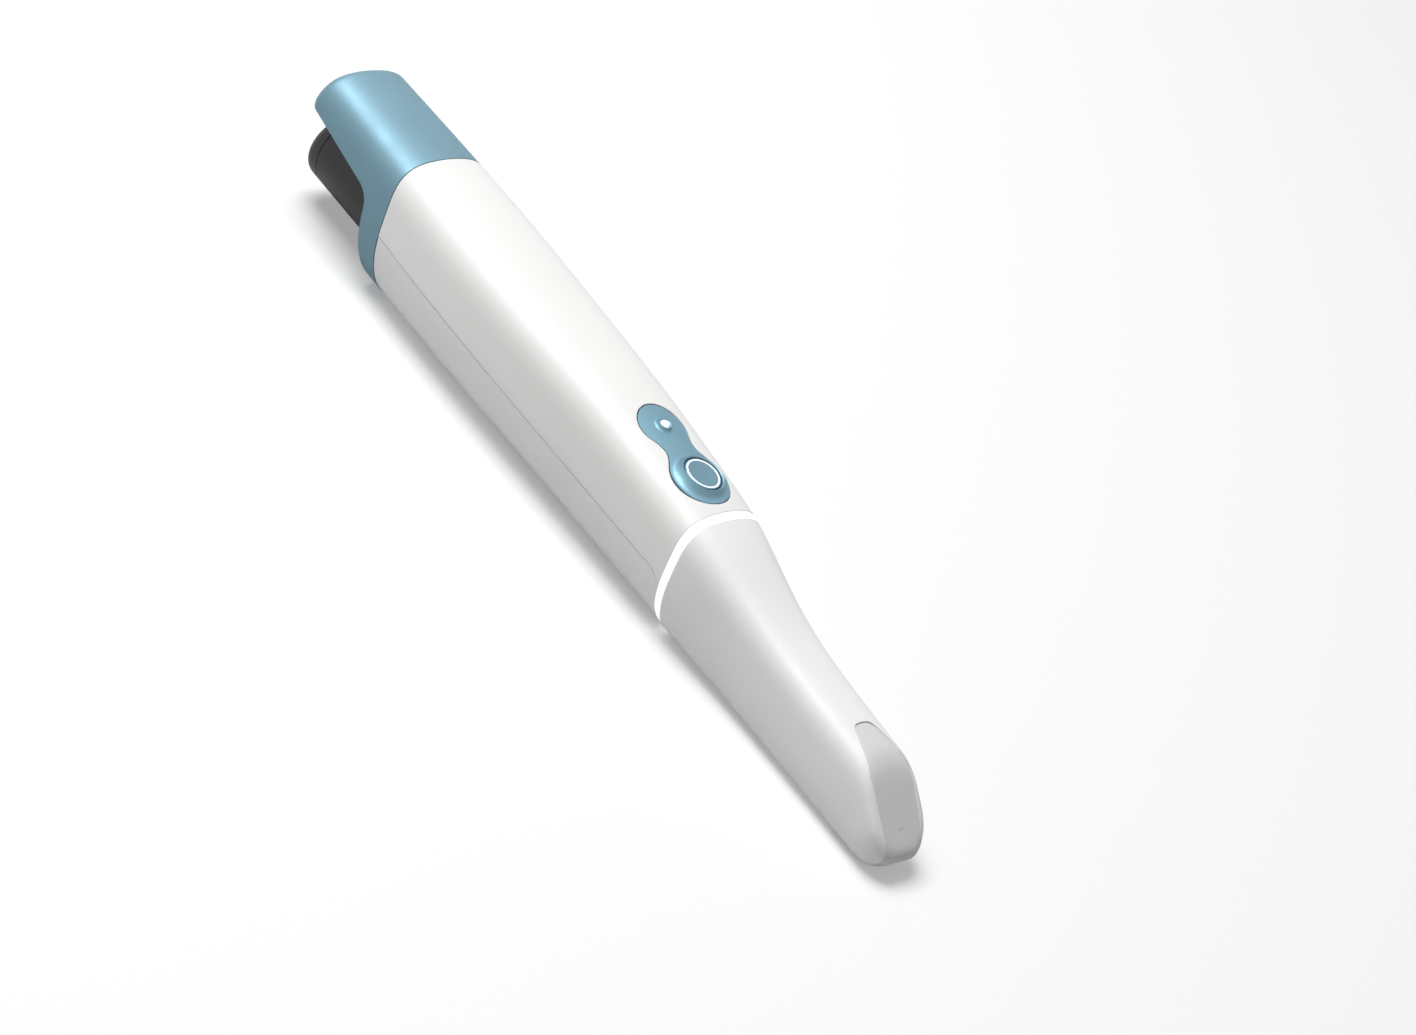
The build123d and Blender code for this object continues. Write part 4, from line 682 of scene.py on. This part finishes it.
below, beside, above = (np.linspace(*turns) for turns in HOOD_TURNS)
side = np.radians(np.concatenate([below[:-1], beside[:-1], above]))
angles = np.concatenate([side, math.pi - side[-2:0:-1]])
hood = hood_grid(angles, HOOD_ROWS)
end = hood[-1]
outline = end[end[:, 0] < REAR_END + PANEL_REACH]
spread = np.linspace(outline[0, 1], outline[-1, 1], len(outline))[:, None]
foot = outline[0] * [1, 0, 1] + np.array([0, 1, 0]) * spread
drop = np.linspace(0, 1, PANEL_ROWS)[:, None, None]
panel = outline[None] * (1 - drop) + foot[None] * drop
piece("rear_housing_skin", [(hood, True, None), (panel, False, None)], "body", "rear_housing",
      REAR_MIDDLE, REAR_WALL, REAR_EDGE, 3)

# %% [markdown]
# The light ring between housing and tip is a narrow band of clear plastic, lit from inside. It could be cut
# from a copy of the housing by two planes. A strip of the same skin between two leaning lines, set in by a hair,
# gives the same band with even faces.

# %% Light ring
RING_WIDTH = 2.5
RING_RECESS = 0.1
RING_GUESS = 38.0
RING_ROUNDS = 8
RING_ROWS = 4
RING_COLUMNS = 160
RING_MIDDLE = (40, 0, 18)
RING_WALL = 1.6
RING_EDGE = 0.15

across = RING_WIDTH * np.linspace(0, 1, RING_ROWS)[:, None]
around = np.linspace(0, 2 * math.pi, RING_COLUMNS, endpoint=False)[None] + 0 * across
x = np.full_like(around, RING_GUESS)
for settle in range(RING_ROUNDS):
    y, z = body_point(x, around, RING_RECESS)
    x = leaning(RING, z, across)
piece("light_ring_band", [(stacked(x, y, z), True, None)], "body", "light_ring",
      RING_MIDDLE, RING_WALL, RING_EDGE)

# %% [markdown]
# The tip has no plain cross-sections at its end: flat sloping face, rounded toe, round corners. It is easier to
# say how far any point in space lies outside it. That distance is the largest of a few simple ones, to the
# sleeve's section, to the floor, to the front and to the sloping face, and taking the largest softly rounds
# the edges between them. The skin is then found along straight lines that fan out from the middle: upright
# ones along the top, turning ones round the front, and hanging ones back along the bottom.

# %% Shape of the tip
# Each row gives x, half width, height, the height of the widest place, the crown and the belly's power.
TIP = np.array([
    (28.0, 16.1, 36.8, 19.2, 2.7, 2.25),
    (38.0, 15.8, 35.6, 18.6, 2.7, 2.3),
    (48.0, 14.5, 33.5, 17.4, 2.5, 2.5),
    (62.0, 12.4, 30.0, 15.6, 2.0, 2.8),
    (77.0, 11.0, 27.1, 14.1, 1.6, 3.1),
    (92.0, 10.5, 25.6, 13.3, 1.4, 3.2),
    (116.0, 10.4, 24.3, 12.6, 1.4, 3.3),
    (142.0, 10.4, 22.7, 11.8, 1.4, 3.3),
])
TIP_CORNER = 5.0
TIP_END = 137.0
FACE_TOP = np.array([118.6, 22.4])
FACE_NORMAL = np.array([0.6184, 0.7859])
NOSE_ROUND = 9.3
FACE_SOFT = 2.4
LEAST_GAUGE = 0.02
LONGEST = 34.0
LINE_HALVINGS = 34


def tip_distance(x, y, z, inset=0.0):
    """How far a point lies outside the tip, in millimetres; less than nought inside.

    The section's gauge is one on its outline, and its distance is measured along the line from the middle.
    The front rounds into the rest along a circle, and the sloping face meets them in a soft bend.
    """
    half, height, widest, crown, belly = (natural_cubic(TIP[:, 0], TIP[:, k], x) for k in range(1, 6))
    upper = z > widest
    lift = height - widest - crown * np.minimum(np.abs(y) / half, 1) ** 2
    rise = np.where(upper, (z - widest) / lift, (widest - z) / (widest + BELLY_SINK))
    reach = np.abs(y) / (half * np.where(upper, 1 - SIDE_TAPER * np.clip(rise, 0, 1), 1))
    power = np.where(upper, TIP_CORNER, belly)
    gauge = (reach ** power + rise ** power) ** (1 / power)
    sleeve = np.hypot(y, z - widest) * (1 - 1 / np.maximum(gauge, LEAST_GAUGE)) + inset
    sleeve = np.maximum(sleeve, inset - z)
    front = x - TIP_END + inset
    both = np.hypot(np.maximum(sleeve + NOSE_ROUND, 0), np.maximum(front + NOSE_ROUND, 0)) - NOSE_ROUND
    face = (x - FACE_TOP[0]) * FACE_NORMAL[0] + (z - FACE_TOP[1]) * FACE_NORMAL[1] + inset
    meet = np.maximum(FACE_SOFT - np.abs(both - face), 0)
    return np.maximum(both, face) + meet ** 2 / (4 * FACE_SOFT)


def tip_point(centre, spoke, angle, inset=0.0):
    """The skin along a line from a centre, at an angle between the spoke and the y axis, by halving."""
    away = np.cos(angle)[..., None] * spoke + np.sin(angle)[..., None] * np.array([0, 1, 0])
    low, high = np.zeros(away.shape[:-1]), np.full(away.shape[:-1], LONGEST)
    for halving in range(LINE_HALVINGS):
        length = (low + high) / 2
        point = centre + length[..., None] * away
        outside = tip_distance(point[..., 0], point[..., 1], point[..., 2], inset) > 0
        low, high = np.where(outside, low, length), np.where(outside, length, high)
    return centre + ((low + high) / 2)[..., None] * away


print("the tip is", round(2 * float(natural_cubic(TIP[:, 0], TIP[:, 1], 100.0)), 1), "mm wide at x = 100")

# %% [markdown]
# Every row of the grid runs from the left side over the middle to the right, and the rows follow each other
# along the top, round the front and back along the bottom. Even spacing would be simpler, but the rows stand
# closer where the shape turns quickly: at the start of the tongue and round the front. Near the ring they lean
# as it does.

# %% Rows of the tip
FAN_X = 116.0
FAN_Z = 8.0
FAN_DROP = natural_cubic(TIP[:, 0], TIP[:, 3], FAN_X) - FAN_Z
FAN_TURNS = ((90, 62, 12), (62, -30, 58), (-30, -90, 30))
LEAN_HOLDS = 46.0
LEAN_ENDS = 64.0
START_Z = 14.0
START_GAP = 2.6
START_X = leaning(RING, START_Z, START_GAP)
SLIM_X = 62
ROWS_TO_SLIM = 16
TONGUE_START = 104.4
ROWS_TO_TONGUE = 24
TONGUE_ROWS = 22
TONGUE_CROWDING = 1.8
BOTTOM_ROWS = 12


def row_set():
    """Centres and spokes of the tip's rows, and how many rows lie on the top and round the front."""
    tongue = TONGUE_START + (FAN_X - TONGUE_START) * np.linspace(0, 1, TONGUE_ROWS) ** TONGUE_CROWDING
    to_slim = np.linspace(START_X, SLIM_X, ROWS_TO_SLIM)[:-1]
    to_tongue = np.linspace(SLIM_X, TONGUE_START, ROWS_TO_TONGUE)[:-1]
    top = np.concatenate([to_slim, to_tongue, tongue])
    bottom = np.concatenate([to_slim, to_tongue, np.linspace(TONGUE_START, FAN_X, BOTTOM_ROWS)])[::-1]
    fan = np.radians(np.concatenate([np.linspace(*turns)[1:] for turns in FAN_TURNS])[:-1])
    centres, spokes = [], []
    for x, way in [(x, 1) for x in top] + [(x, -1) for x in bottom]:
        z = natural_cubic(TIP[:, 0], TIP[:, 3], np.array(x)) - FAN_DROP
        lean = RING[1] * max(0, min(1, (LEAN_ENDS - x) / (LEAN_ENDS - LEAN_HOLDS)))
        centres.append((x, 0, z))
        spokes.append((way * lean, 0, way))
    count = len(top)
    centres = centres[:count] + [(FAN_X, 0, FAN_Z)] * len(fan) + centres[count:]
    turning = [(math.cos(angle), 0, math.sin(angle)) for angle in fan]
    spokes = spokes[:count] + turning + spokes[count:]
    return np.array(centres)[:, None], np.array(spokes)[:, None], count, len(fan)


print("rows of the tip:", len(row_set()[0]))

# %% [markdown]
# The middle part of a row is as wide as what lies there: the tongue and the face of the end cap above, the
# opening for the mirror below. The opening is given by its rear and front ends, its half width and the radius
# of its corners. It could be cut with a Boolean, but where the edge is a line of the grid it stays clean, and
# the faces that the sleeve leaves out above are just those that the cap takes up.

# %% Middle of the rows
TONGUE = rounded_line(((TONGUE_START, 0.0), (104.6, 3.4), (112.3, 5.9), (118.6, 7.5)), (3.0, 6.0), 12)
FACE_FOOT = 135.5
FACE_HALF = (7.8, 6.9)
CAP_LIP_Z = 2.8
NARROWING_Z = 0.4
WINDOW = (117.0, 130.0, 6.8, 2.0)


def middle_half(point, row, top_rows, fan_rows):
    """Half width of the row's middle part, where the cap or the window lies, at a point on the skin."""
    x, z = point[:, 0], point[:, 2]
    tongue = np.interp(x, TONGUE[:, 0], TONGUE[:, 1])
    face = np.interp(x, [FACE_TOP[0], FACE_FOOT], FACE_HALF)
    rear, front, half, corner = WINDOW
    deep = np.clip(corner - np.minimum(x - rear, front - x), 0, corner)
    window = half - corner + np.sqrt(corner ** 2 - deep ** 2)
    ease = np.clip((z - NARROWING_Z) / (CAP_LIP_Z - NARROWING_Z), 0, 1)
    low = np.where(x > rear, window + (FACE_HALF[1] - window) * ease, half - corner)
    top = np.where(x < FACE_TOP[0], tongue, face)
    return np.where((row >= top_rows + fan_rows) | (z < CAP_LIP_Z), low, top)


print("the end cap is", 2 * FACE_HALF[0], "mm wide at the top of its face")

# %% [markdown]
# The direction in which each row reaches the edge of its middle part is found by halving. The columns are then
# shared out evenly, over the two flanks and over the middle.

# %% Grid of the tip
FLANK = 20
CENTRE = 14
EDGE_HALVINGS = 30
TOUCH = 0.01


def tip_grid(inset=0.0):
    """The whole tip as rows from its left side to its right, split at the edges of the middle part."""
    centres, spokes, top_rows, fan_rows = row_set()
    row = np.arange(len(centres))
    low, high = np.zeros(len(centres)), np.full(len(centres), math.pi / 2)
    for halving in range(EDGE_HALVINGS):
        angle = (low + high) / 2
        point = tip_point(centres[:, 0], spokes[:, 0], angle)
        inside = point[:, 1] < middle_half(point, row, top_rows, fan_rows)
        low, high = np.where(inside, angle, low), np.where(inside, high, angle)
    split = ((low + high) / 2)[:, None]
    middle = tip_point(centres[:, 0], spokes[:, 0], np.zeros(len(centres)))
    split[(row < top_rows) & (middle[:, 0] < TONGUE_START + TOUCH)] = 0
    flank = split + (math.pi / 2 - split) * np.linspace(1, 0, FLANK + 1)
    centre = split * np.linspace(1, -1, CENTRE + 1)
    whole = np.hstack([flank, centre[:, 1:-1], -flank[:, ::-1]])
    return tip_point(centres, spokes, whole, inset), middle, top_rows, fan_rows


tip, ridge, top_rows, fan_rows = tip_grid()
print("grid of the tip has", len(tip), "rows of", tip.shape[1], "points")

# %% [markdown]
# The sleeve is a thin moulding that slides off to be cleaned. It is the grid without the faces of the cap and
# without the opening, so a few rows are told apart by where the middle of each lies.

# %% Tip sleeve
LIP_SLACK = 0.15
FLOOR_BAND = 1.0
WINDOW_SLACK = 0.3
TIP_MIDDLE = (100, 0, 12)
TIP_WALL = 1.2
TIP_EDGE = 0.1

ridge_x, ridge_z = ridge[:, 0], ridge[:, 2]
cap_rows = (ridge_x > TONGUE_START - TOUCH) & (ridge_z > CAP_LIP_Z - LIP_SLACK)
cap_rows &= np.arange(len(tip)) < top_rows + fan_rows
open_rows = (ridge_x > WINDOW[0] - WINDOW_SLACK) & (ridge_x < WINDOW[1] + WINDOW_SLACK)
open_rows &= ridge_z < FLOOR_BAND
keep = np.ones((len(tip) - 1, tip.shape[1] - 1), dtype=bool)
empty = (cap_rows[:-1] & cap_rows[1:]) | (open_rows[:-1] & open_rows[1:])
keep[empty, FLANK:FLANK + CENTRE] = False
piece("scan_tip_skin", [(tip, False, keep)], "tip", "scan_tip", TIP_MIDDLE, TIP_WALL, TIP_EDGE)

# %% [markdown]
# The end cap fills the tongue and the sloping face. At the tongue it lies a few tenths of a millimetre below the
# sleeve, and over the first part of the face it rises until it is nearly flush. The same lines are used again,
# with the distance measured from a smaller shape.

# %% End cap
CAP_RECESS = 0.4
CAP_FLUSH = 0.05
CAP_RISE_END = FACE_TOP[0] + 4
CAP_MIDDLE = (118, 0, 10)
CAP_WALL = 1.2
CAP_EDGE = 0.1

along = np.clip((ridge_x - FAN_X) / (CAP_RISE_END - FAN_X), 0, 1)
recess = CAP_RECESS + (CAP_FLUSH - CAP_RECESS) * along * along * (3 - 2 * along)
cap_grid = tip_grid(recess[:, None])[0]
rows = np.flatnonzero(cap_rows)
cap = cap_grid[rows[0]:rows[-1] + 1, FLANK:FLANK + CENTRE + 1]
piece("tip_end_cap_skin", [(cap, False, None)], "tip", "tip_end_cap", CAP_MIDDLE, CAP_WALL, CAP_EDGE)

# %% [markdown]
# The control plate is drawn in its own plane. Its grid runs from each bore out to the edge, and the two halves
# meet at the neck. The height is the larger of two: the housing's skin, a hair lower, and round each bore a
# rim like a crater's, steep at the crest and flat at the foot. Taking the larger softly lets the rim grow out
# of the plate.

# %% Control plate
PLATE_INSET = 0.15
PLATE_WALL = 1.5
PLATE_EDGE = 0.14
PLATE_MIDDLE = (LIGHT_X + 9, 0, 30)
NECK_ROW = 88
NECK_STEPS = 21
FLAT_STEPS = 15
BUTTON_BORE = 5.8
BUTTON_CREST = 1.35
LENS_BORE = 1.35
LENS_CREST = 0.95
LENS_FOOT = 3.9
LIP_WIDTH = 0.45
LIP_FALL = 0.35
FLANK_POWER = 2.1
FOOT_HEIGHT = -0.9
VALLEY = 0.4
RIM_STEPS = np.array([0, 0.12, 0.24, 0.34, 0.45, 0.56, 0.68, 0.82, 1.0, 1.2])


def crater(radius, bore, crest, foot_radius):
    """Height of a rim: a rounded lip round the bore, then a flank that falls ever more gently."""
    top = bore + LIP_WIDTH
    lip = crest - LIP_FALL * np.clip((top - radius) / LIP_WIDTH, 0, 1) ** 2
    along = np.clip((radius - top) / (foot_radius - top), 0, 1)
    flank = FOOT_HEIGHT + (crest - FOOT_HEIGHT) * (1 - along) ** FLANK_POWER
    return np.where(radius < top, lip, flank)


def smoothly_larger(a, b, soft):
    """The larger of two heights, with a round valley where they cross."""
    return np.maximum(a, b) + np.maximum(soft - np.abs(a - b), 0) ** 2 / (4 * soft)


def on_plate(u, v, w):
    """From the plate's own axes to the model's."""
    x = LIGHT_X + u * math.cos(PLATE_SLOPE) - w * math.sin(PLATE_SLOPE)
    return stacked(x, v, LIGHT_Z + u * math.sin(PLATE_SLOPE) + w * math.cos(PLATE_SLOPE))


def lobe_grid(centre, bore, crest, foot_radius, side):
    """Points from a bore to the edge of its lobe, whose far side is the neck line."""
    run = np.linspace(1, -1, NECK_STEPS)[1:-1, None] * side[-1] * [0, 1] + side[-1] * [1, 0]
    edge = np.vstack([side, run, side[:0:-1] * [1, -1]])
    away = edge - [centre, 0]
    reach = np.linalg.norm(away, axis=1)
    rim = np.repeat((bore + RIM_STEPS)[:, None], len(edge), axis=1)
    flat = rim[-1] + (reach - rim[-1]) * np.linspace(0, 1, FLAT_STEPS)[1:, None]
    radius = np.vstack([rim, flat])
    u = centre + away[:, 0] / reach * radius
    v = away[:, 1] / reach * radius
    level = top_height(LIGHT_X + u * math.cos(PLATE_SLOPE), v, PLATE_INSET)
    level = (level - LIGHT_Z - u * math.sin(PLATE_SLOPE)) / math.cos(PLATE_SLOPE)
    return on_plate(u, v, smoothly_larger(level, crater(radius, bore, crest, foot_radius), VALLEY))


half = half_outline(0)
button_side = lobe_grid(BUTTON_U, BUTTON_BORE, BUTTON_CREST, BUTTON_LOBE, half[:NECK_ROW + 1])
light_side = lobe_grid(0.0, LENS_BORE, LENS_CREST, LENS_FOOT, half[:NECK_ROW - 1:-1])
piece("control_plate_skin", [(button_side, True, None), (light_side, True, None)], "body", "control_plate",
      PLATE_MIDDLE, PLATE_WALL, PLATE_EDGE, 3)

# %% [markdown]
# The button, its glowing ring, the lens of the status light and the battery are all turned: each is a profile
# of radii and heights, carried round an axis. The Screw modifier does this for a drawn curve; here the profile
# is a list, so every radius can be read and changed.

# %% Turned surfaces
TURN_STEPS = 128


def turned(profile, centre, axis, aside, steps=TURN_STEPS):
    """Surface of revolution: every point of the profile goes round the axis at its own radius and height."""
    profile, axis, aside = (np.asarray(value, dtype=float) for value in (profile, axis, aside))
    across = np.cross(axis, aside)
    turn = np.linspace(0, 2 * math.pi, steps, endpoint=False)[None, :, None]
    radial = np.cos(turn) * aside + np.sin(turn) * across
    return np.asarray(centre) + profile[:, 1, None, None] * axis + profile[:, 0, None, None] * radial


def arc(centre, radius, start, stop, steps=8):
    """Part of a circle in the profile, between two directions in degrees."""
    turn = np.radians(np.linspace(start, stop, steps))
    return np.stack([centre[0] + radius * np.cos(turn), centre[1] + radius * np.sin(turn)], axis=-1)


plate_up = np.array([-math.sin(PLATE_SLOPE), 0, math.cos(PLATE_SLOPE)])
plate_on = np.array([math.cos(PLATE_SLOPE), 0, math.sin(PLATE_SLOPE)])
button_foot = on_plate(BUTTON_U, 0.0, 0.0)
light_foot = on_plate(0.0, 0.0, 0.0)
print("the plate slopes by", round(math.degrees(PLATE_SLOPE), 1), "degrees")

# %% [markdown]
# The button is a painted cap with a shallow dish in its top and a groove for the glowing ring. A flange holds
# it in its bore, and a short stem presses the switch below.

# %% Push button
BUTTON_TOP = 1.1
BUTTON_RADIUS = 5.5
BUTTON_ROUND = 0.3
STEM_RADIUS = 1.4
STEM_END = -3.1
FLANGE_RADIUS = 6.5
FLANGE_HEIGHTS = (-3.0, -2.6)
GROOVE_OUTER = 5.07
GROOVE_INNER = 4.55
GROOVE_DEPTH = 0.6
DISH_RADIUS = 4.52
DISH_DEPTH = 0.12
DISH_RIM = 0.03
BUTTON_EDGE = 0.05

dish = np.linspace(DISH_RADIUS, 0, 10)
hollow = BUTTON_TOP - DISH_DEPTH * (1 - (dish / DISH_RADIUS) ** 2)
flange_foot, flange_top = FLANGE_HEIGHTS
groove = BUTTON_TOP - GROOVE_DEPTH
button_profile = np.vstack([
    [(0, STEM_END), (STEM_RADIUS, STEM_END), (STEM_RADIUS, flange_foot)],
    [(FLANGE_RADIUS, flange_foot), (FLANGE_RADIUS, flange_top), (BUTTON_RADIUS, flange_top)],
    arc((BUTTON_RADIUS - BUTTON_ROUND, BUTTON_TOP - BUTTON_ROUND), BUTTON_ROUND, 0, 90),
    [(GROOVE_OUTER, BUTTON_TOP), (GROOVE_OUTER, groove)],
    [(GROOVE_INNER, groove), (GROOVE_INNER, BUTTON_TOP - DISH_RIM)],
    np.stack([dish, hollow], axis=-1),
])
button = turned(button_profile, button_foot, plate_up, plate_on)
piece("control_button_cap", [(button, True, None)], "button", "control_button",
      button_foot - plate_up, 0.0, BUTTON_EDGE)

# %% [markdown]
# The glowing ring is a thin guide of clear plastic that fills the groove and stands a little proud, with a
# rounded top. A torus would be round below too; a profile gives it the flat foot that it stands on.

# %% Glowing ring
GLOW_MIDDLE = 4.81
GLOW_HALF = 0.23
GLOW_FOOT = 0.52
GLOW_SHOULDER = 1.0

glow_start = (GLOW_MIDDLE - GLOW_HALF, GLOW_FOOT)
glow_profile = np.vstack([
    [glow_start, (GLOW_MIDDLE + GLOW_HALF, GLOW_FOOT)],
    arc((GLOW_MIDDLE, GLOW_SHOULDER), GLOW_HALF, 0, 180, 9),
    [glow_start],
])
glow = turned(glow_profile, button_foot, plate_up, plate_on)
piece("button_glow_ring", [(glow, True, None)], "button", "button_glow", button_foot)

# %% [markdown]
# The status light is seen through a slim clear rod whose top is a low dome. A sphere cut in half would stand too
# high, so the dome is part of an ellipse.

# %% Status lens
LENS_RADIUS = 1.25
LENS_END = -5.4
LENS_SHOULDER = 0.72
LENS_RISE = 0.55
LENS_STEPS = 48
LENS_EDGE = 0.04

dome = np.linspace(LENS_RADIUS, 0, 9)
bulge = LENS_SHOULDER + LENS_RISE * np.sqrt(1 - (dome / LENS_RADIUS) ** 2)
lens_profile = np.vstack([[(0, LENS_END), (LENS_RADIUS, LENS_END)], np.stack([dome, bulge], axis=-1)])
lens = turned(lens_profile, light_foot, plate_up, plate_on, LENS_STEPS)
piece("status_lens_dome", [(lens, True, None)], "body", "status_lens", light_foot - 2 * plate_up, 0.0, LENS_EDGE)

# %% [markdown]
# The battery slides in from behind: a long round case with a cap at its rear end. A cylinder with a Bevel would
# do for the rounded end, but the seam between case and cap leans. A turned surface keeps its points in order, so
# the ring of points at each side of the seam is simply moved along the axis onto it.

# %% Battery
BATTERY_RADIUS = 11.0
BATTERY_Z = 16.8
BATTERY_REAR = -134.6
BATTERY_FRONT = -60.6
BATTERY_SEAM = (-126.6, -0.15)
BATTERY_GAP = 0.22
BATTERY_ROUND = 3.2
BATTERY_WALL = 1.4
BATTERY_EDGE = 0.1
BATTERY_AXIS = ((0, 0, BATTERY_Z), (1, 0, 0), (0, 1, 0))
CASE_REAR = -124.0
CASE_CHAMFER = 0.8
CASE_RIM = 3
CASE_MIDDLE = (-97, 0, BATTERY_Z)
CAP_FLAT = 4
BATTERY_CAP_MIDDLE = (-130, 0, BATTERY_Z)
RUN_STEPS = 14

run = np.linspace(CASE_REAR, BATTERY_FRONT - CASE_CHAMFER, RUN_STEPS)
closing = (BATTERY_RADIUS - CASE_CHAMFER, BATTERY_RADIUS - CASE_RIM, 0)
case_profile = [(BATTERY_RADIUS, x) for x in run] + [(radius, BATTERY_FRONT) for radius in closing]
case = turned(case_profile, *BATTERY_AXIS)
case[0, :, 0] = leaning(BATTERY_SEAM, case[0, :, 2], BATTERY_GAP / 2)
piece("battery_case_skin", [(case, True, None)], "battery", "battery_case",
      CASE_MIDDLE, BATTERY_WALL, BATTERY_EDGE)

round_centre = (BATTERY_RADIUS - BATTERY_ROUND, BATTERY_REAR + BATTERY_ROUND)
cap_profile = np.vstack([
    [(0, BATTERY_REAR), (CAP_FLAT, BATTERY_REAR)],
    arc(round_centre, BATTERY_ROUND, 270, 360, RUN_STEPS),
    [(BATTERY_RADIUS, BATTERY_SEAM[0])],
])
cap = turned(cap_profile, *BATTERY_AXIS)
cap[-1, :, 0] = leaning(BATTERY_SEAM, cap[-1, :, 2], -BATTERY_GAP / 2)
piece("battery_cap_skin", [(cap, True, None)], "battery", "battery_cap",
      BATTERY_CAP_MIDDLE, BATTERY_WALL, BATTERY_EDGE)

# %% [markdown]
# The view transform is set to Standard, so that the colours are shown as they are set.

# %% Finish
scene = bpy.context.scene
scene.view_settings.view_transform = "Standard"
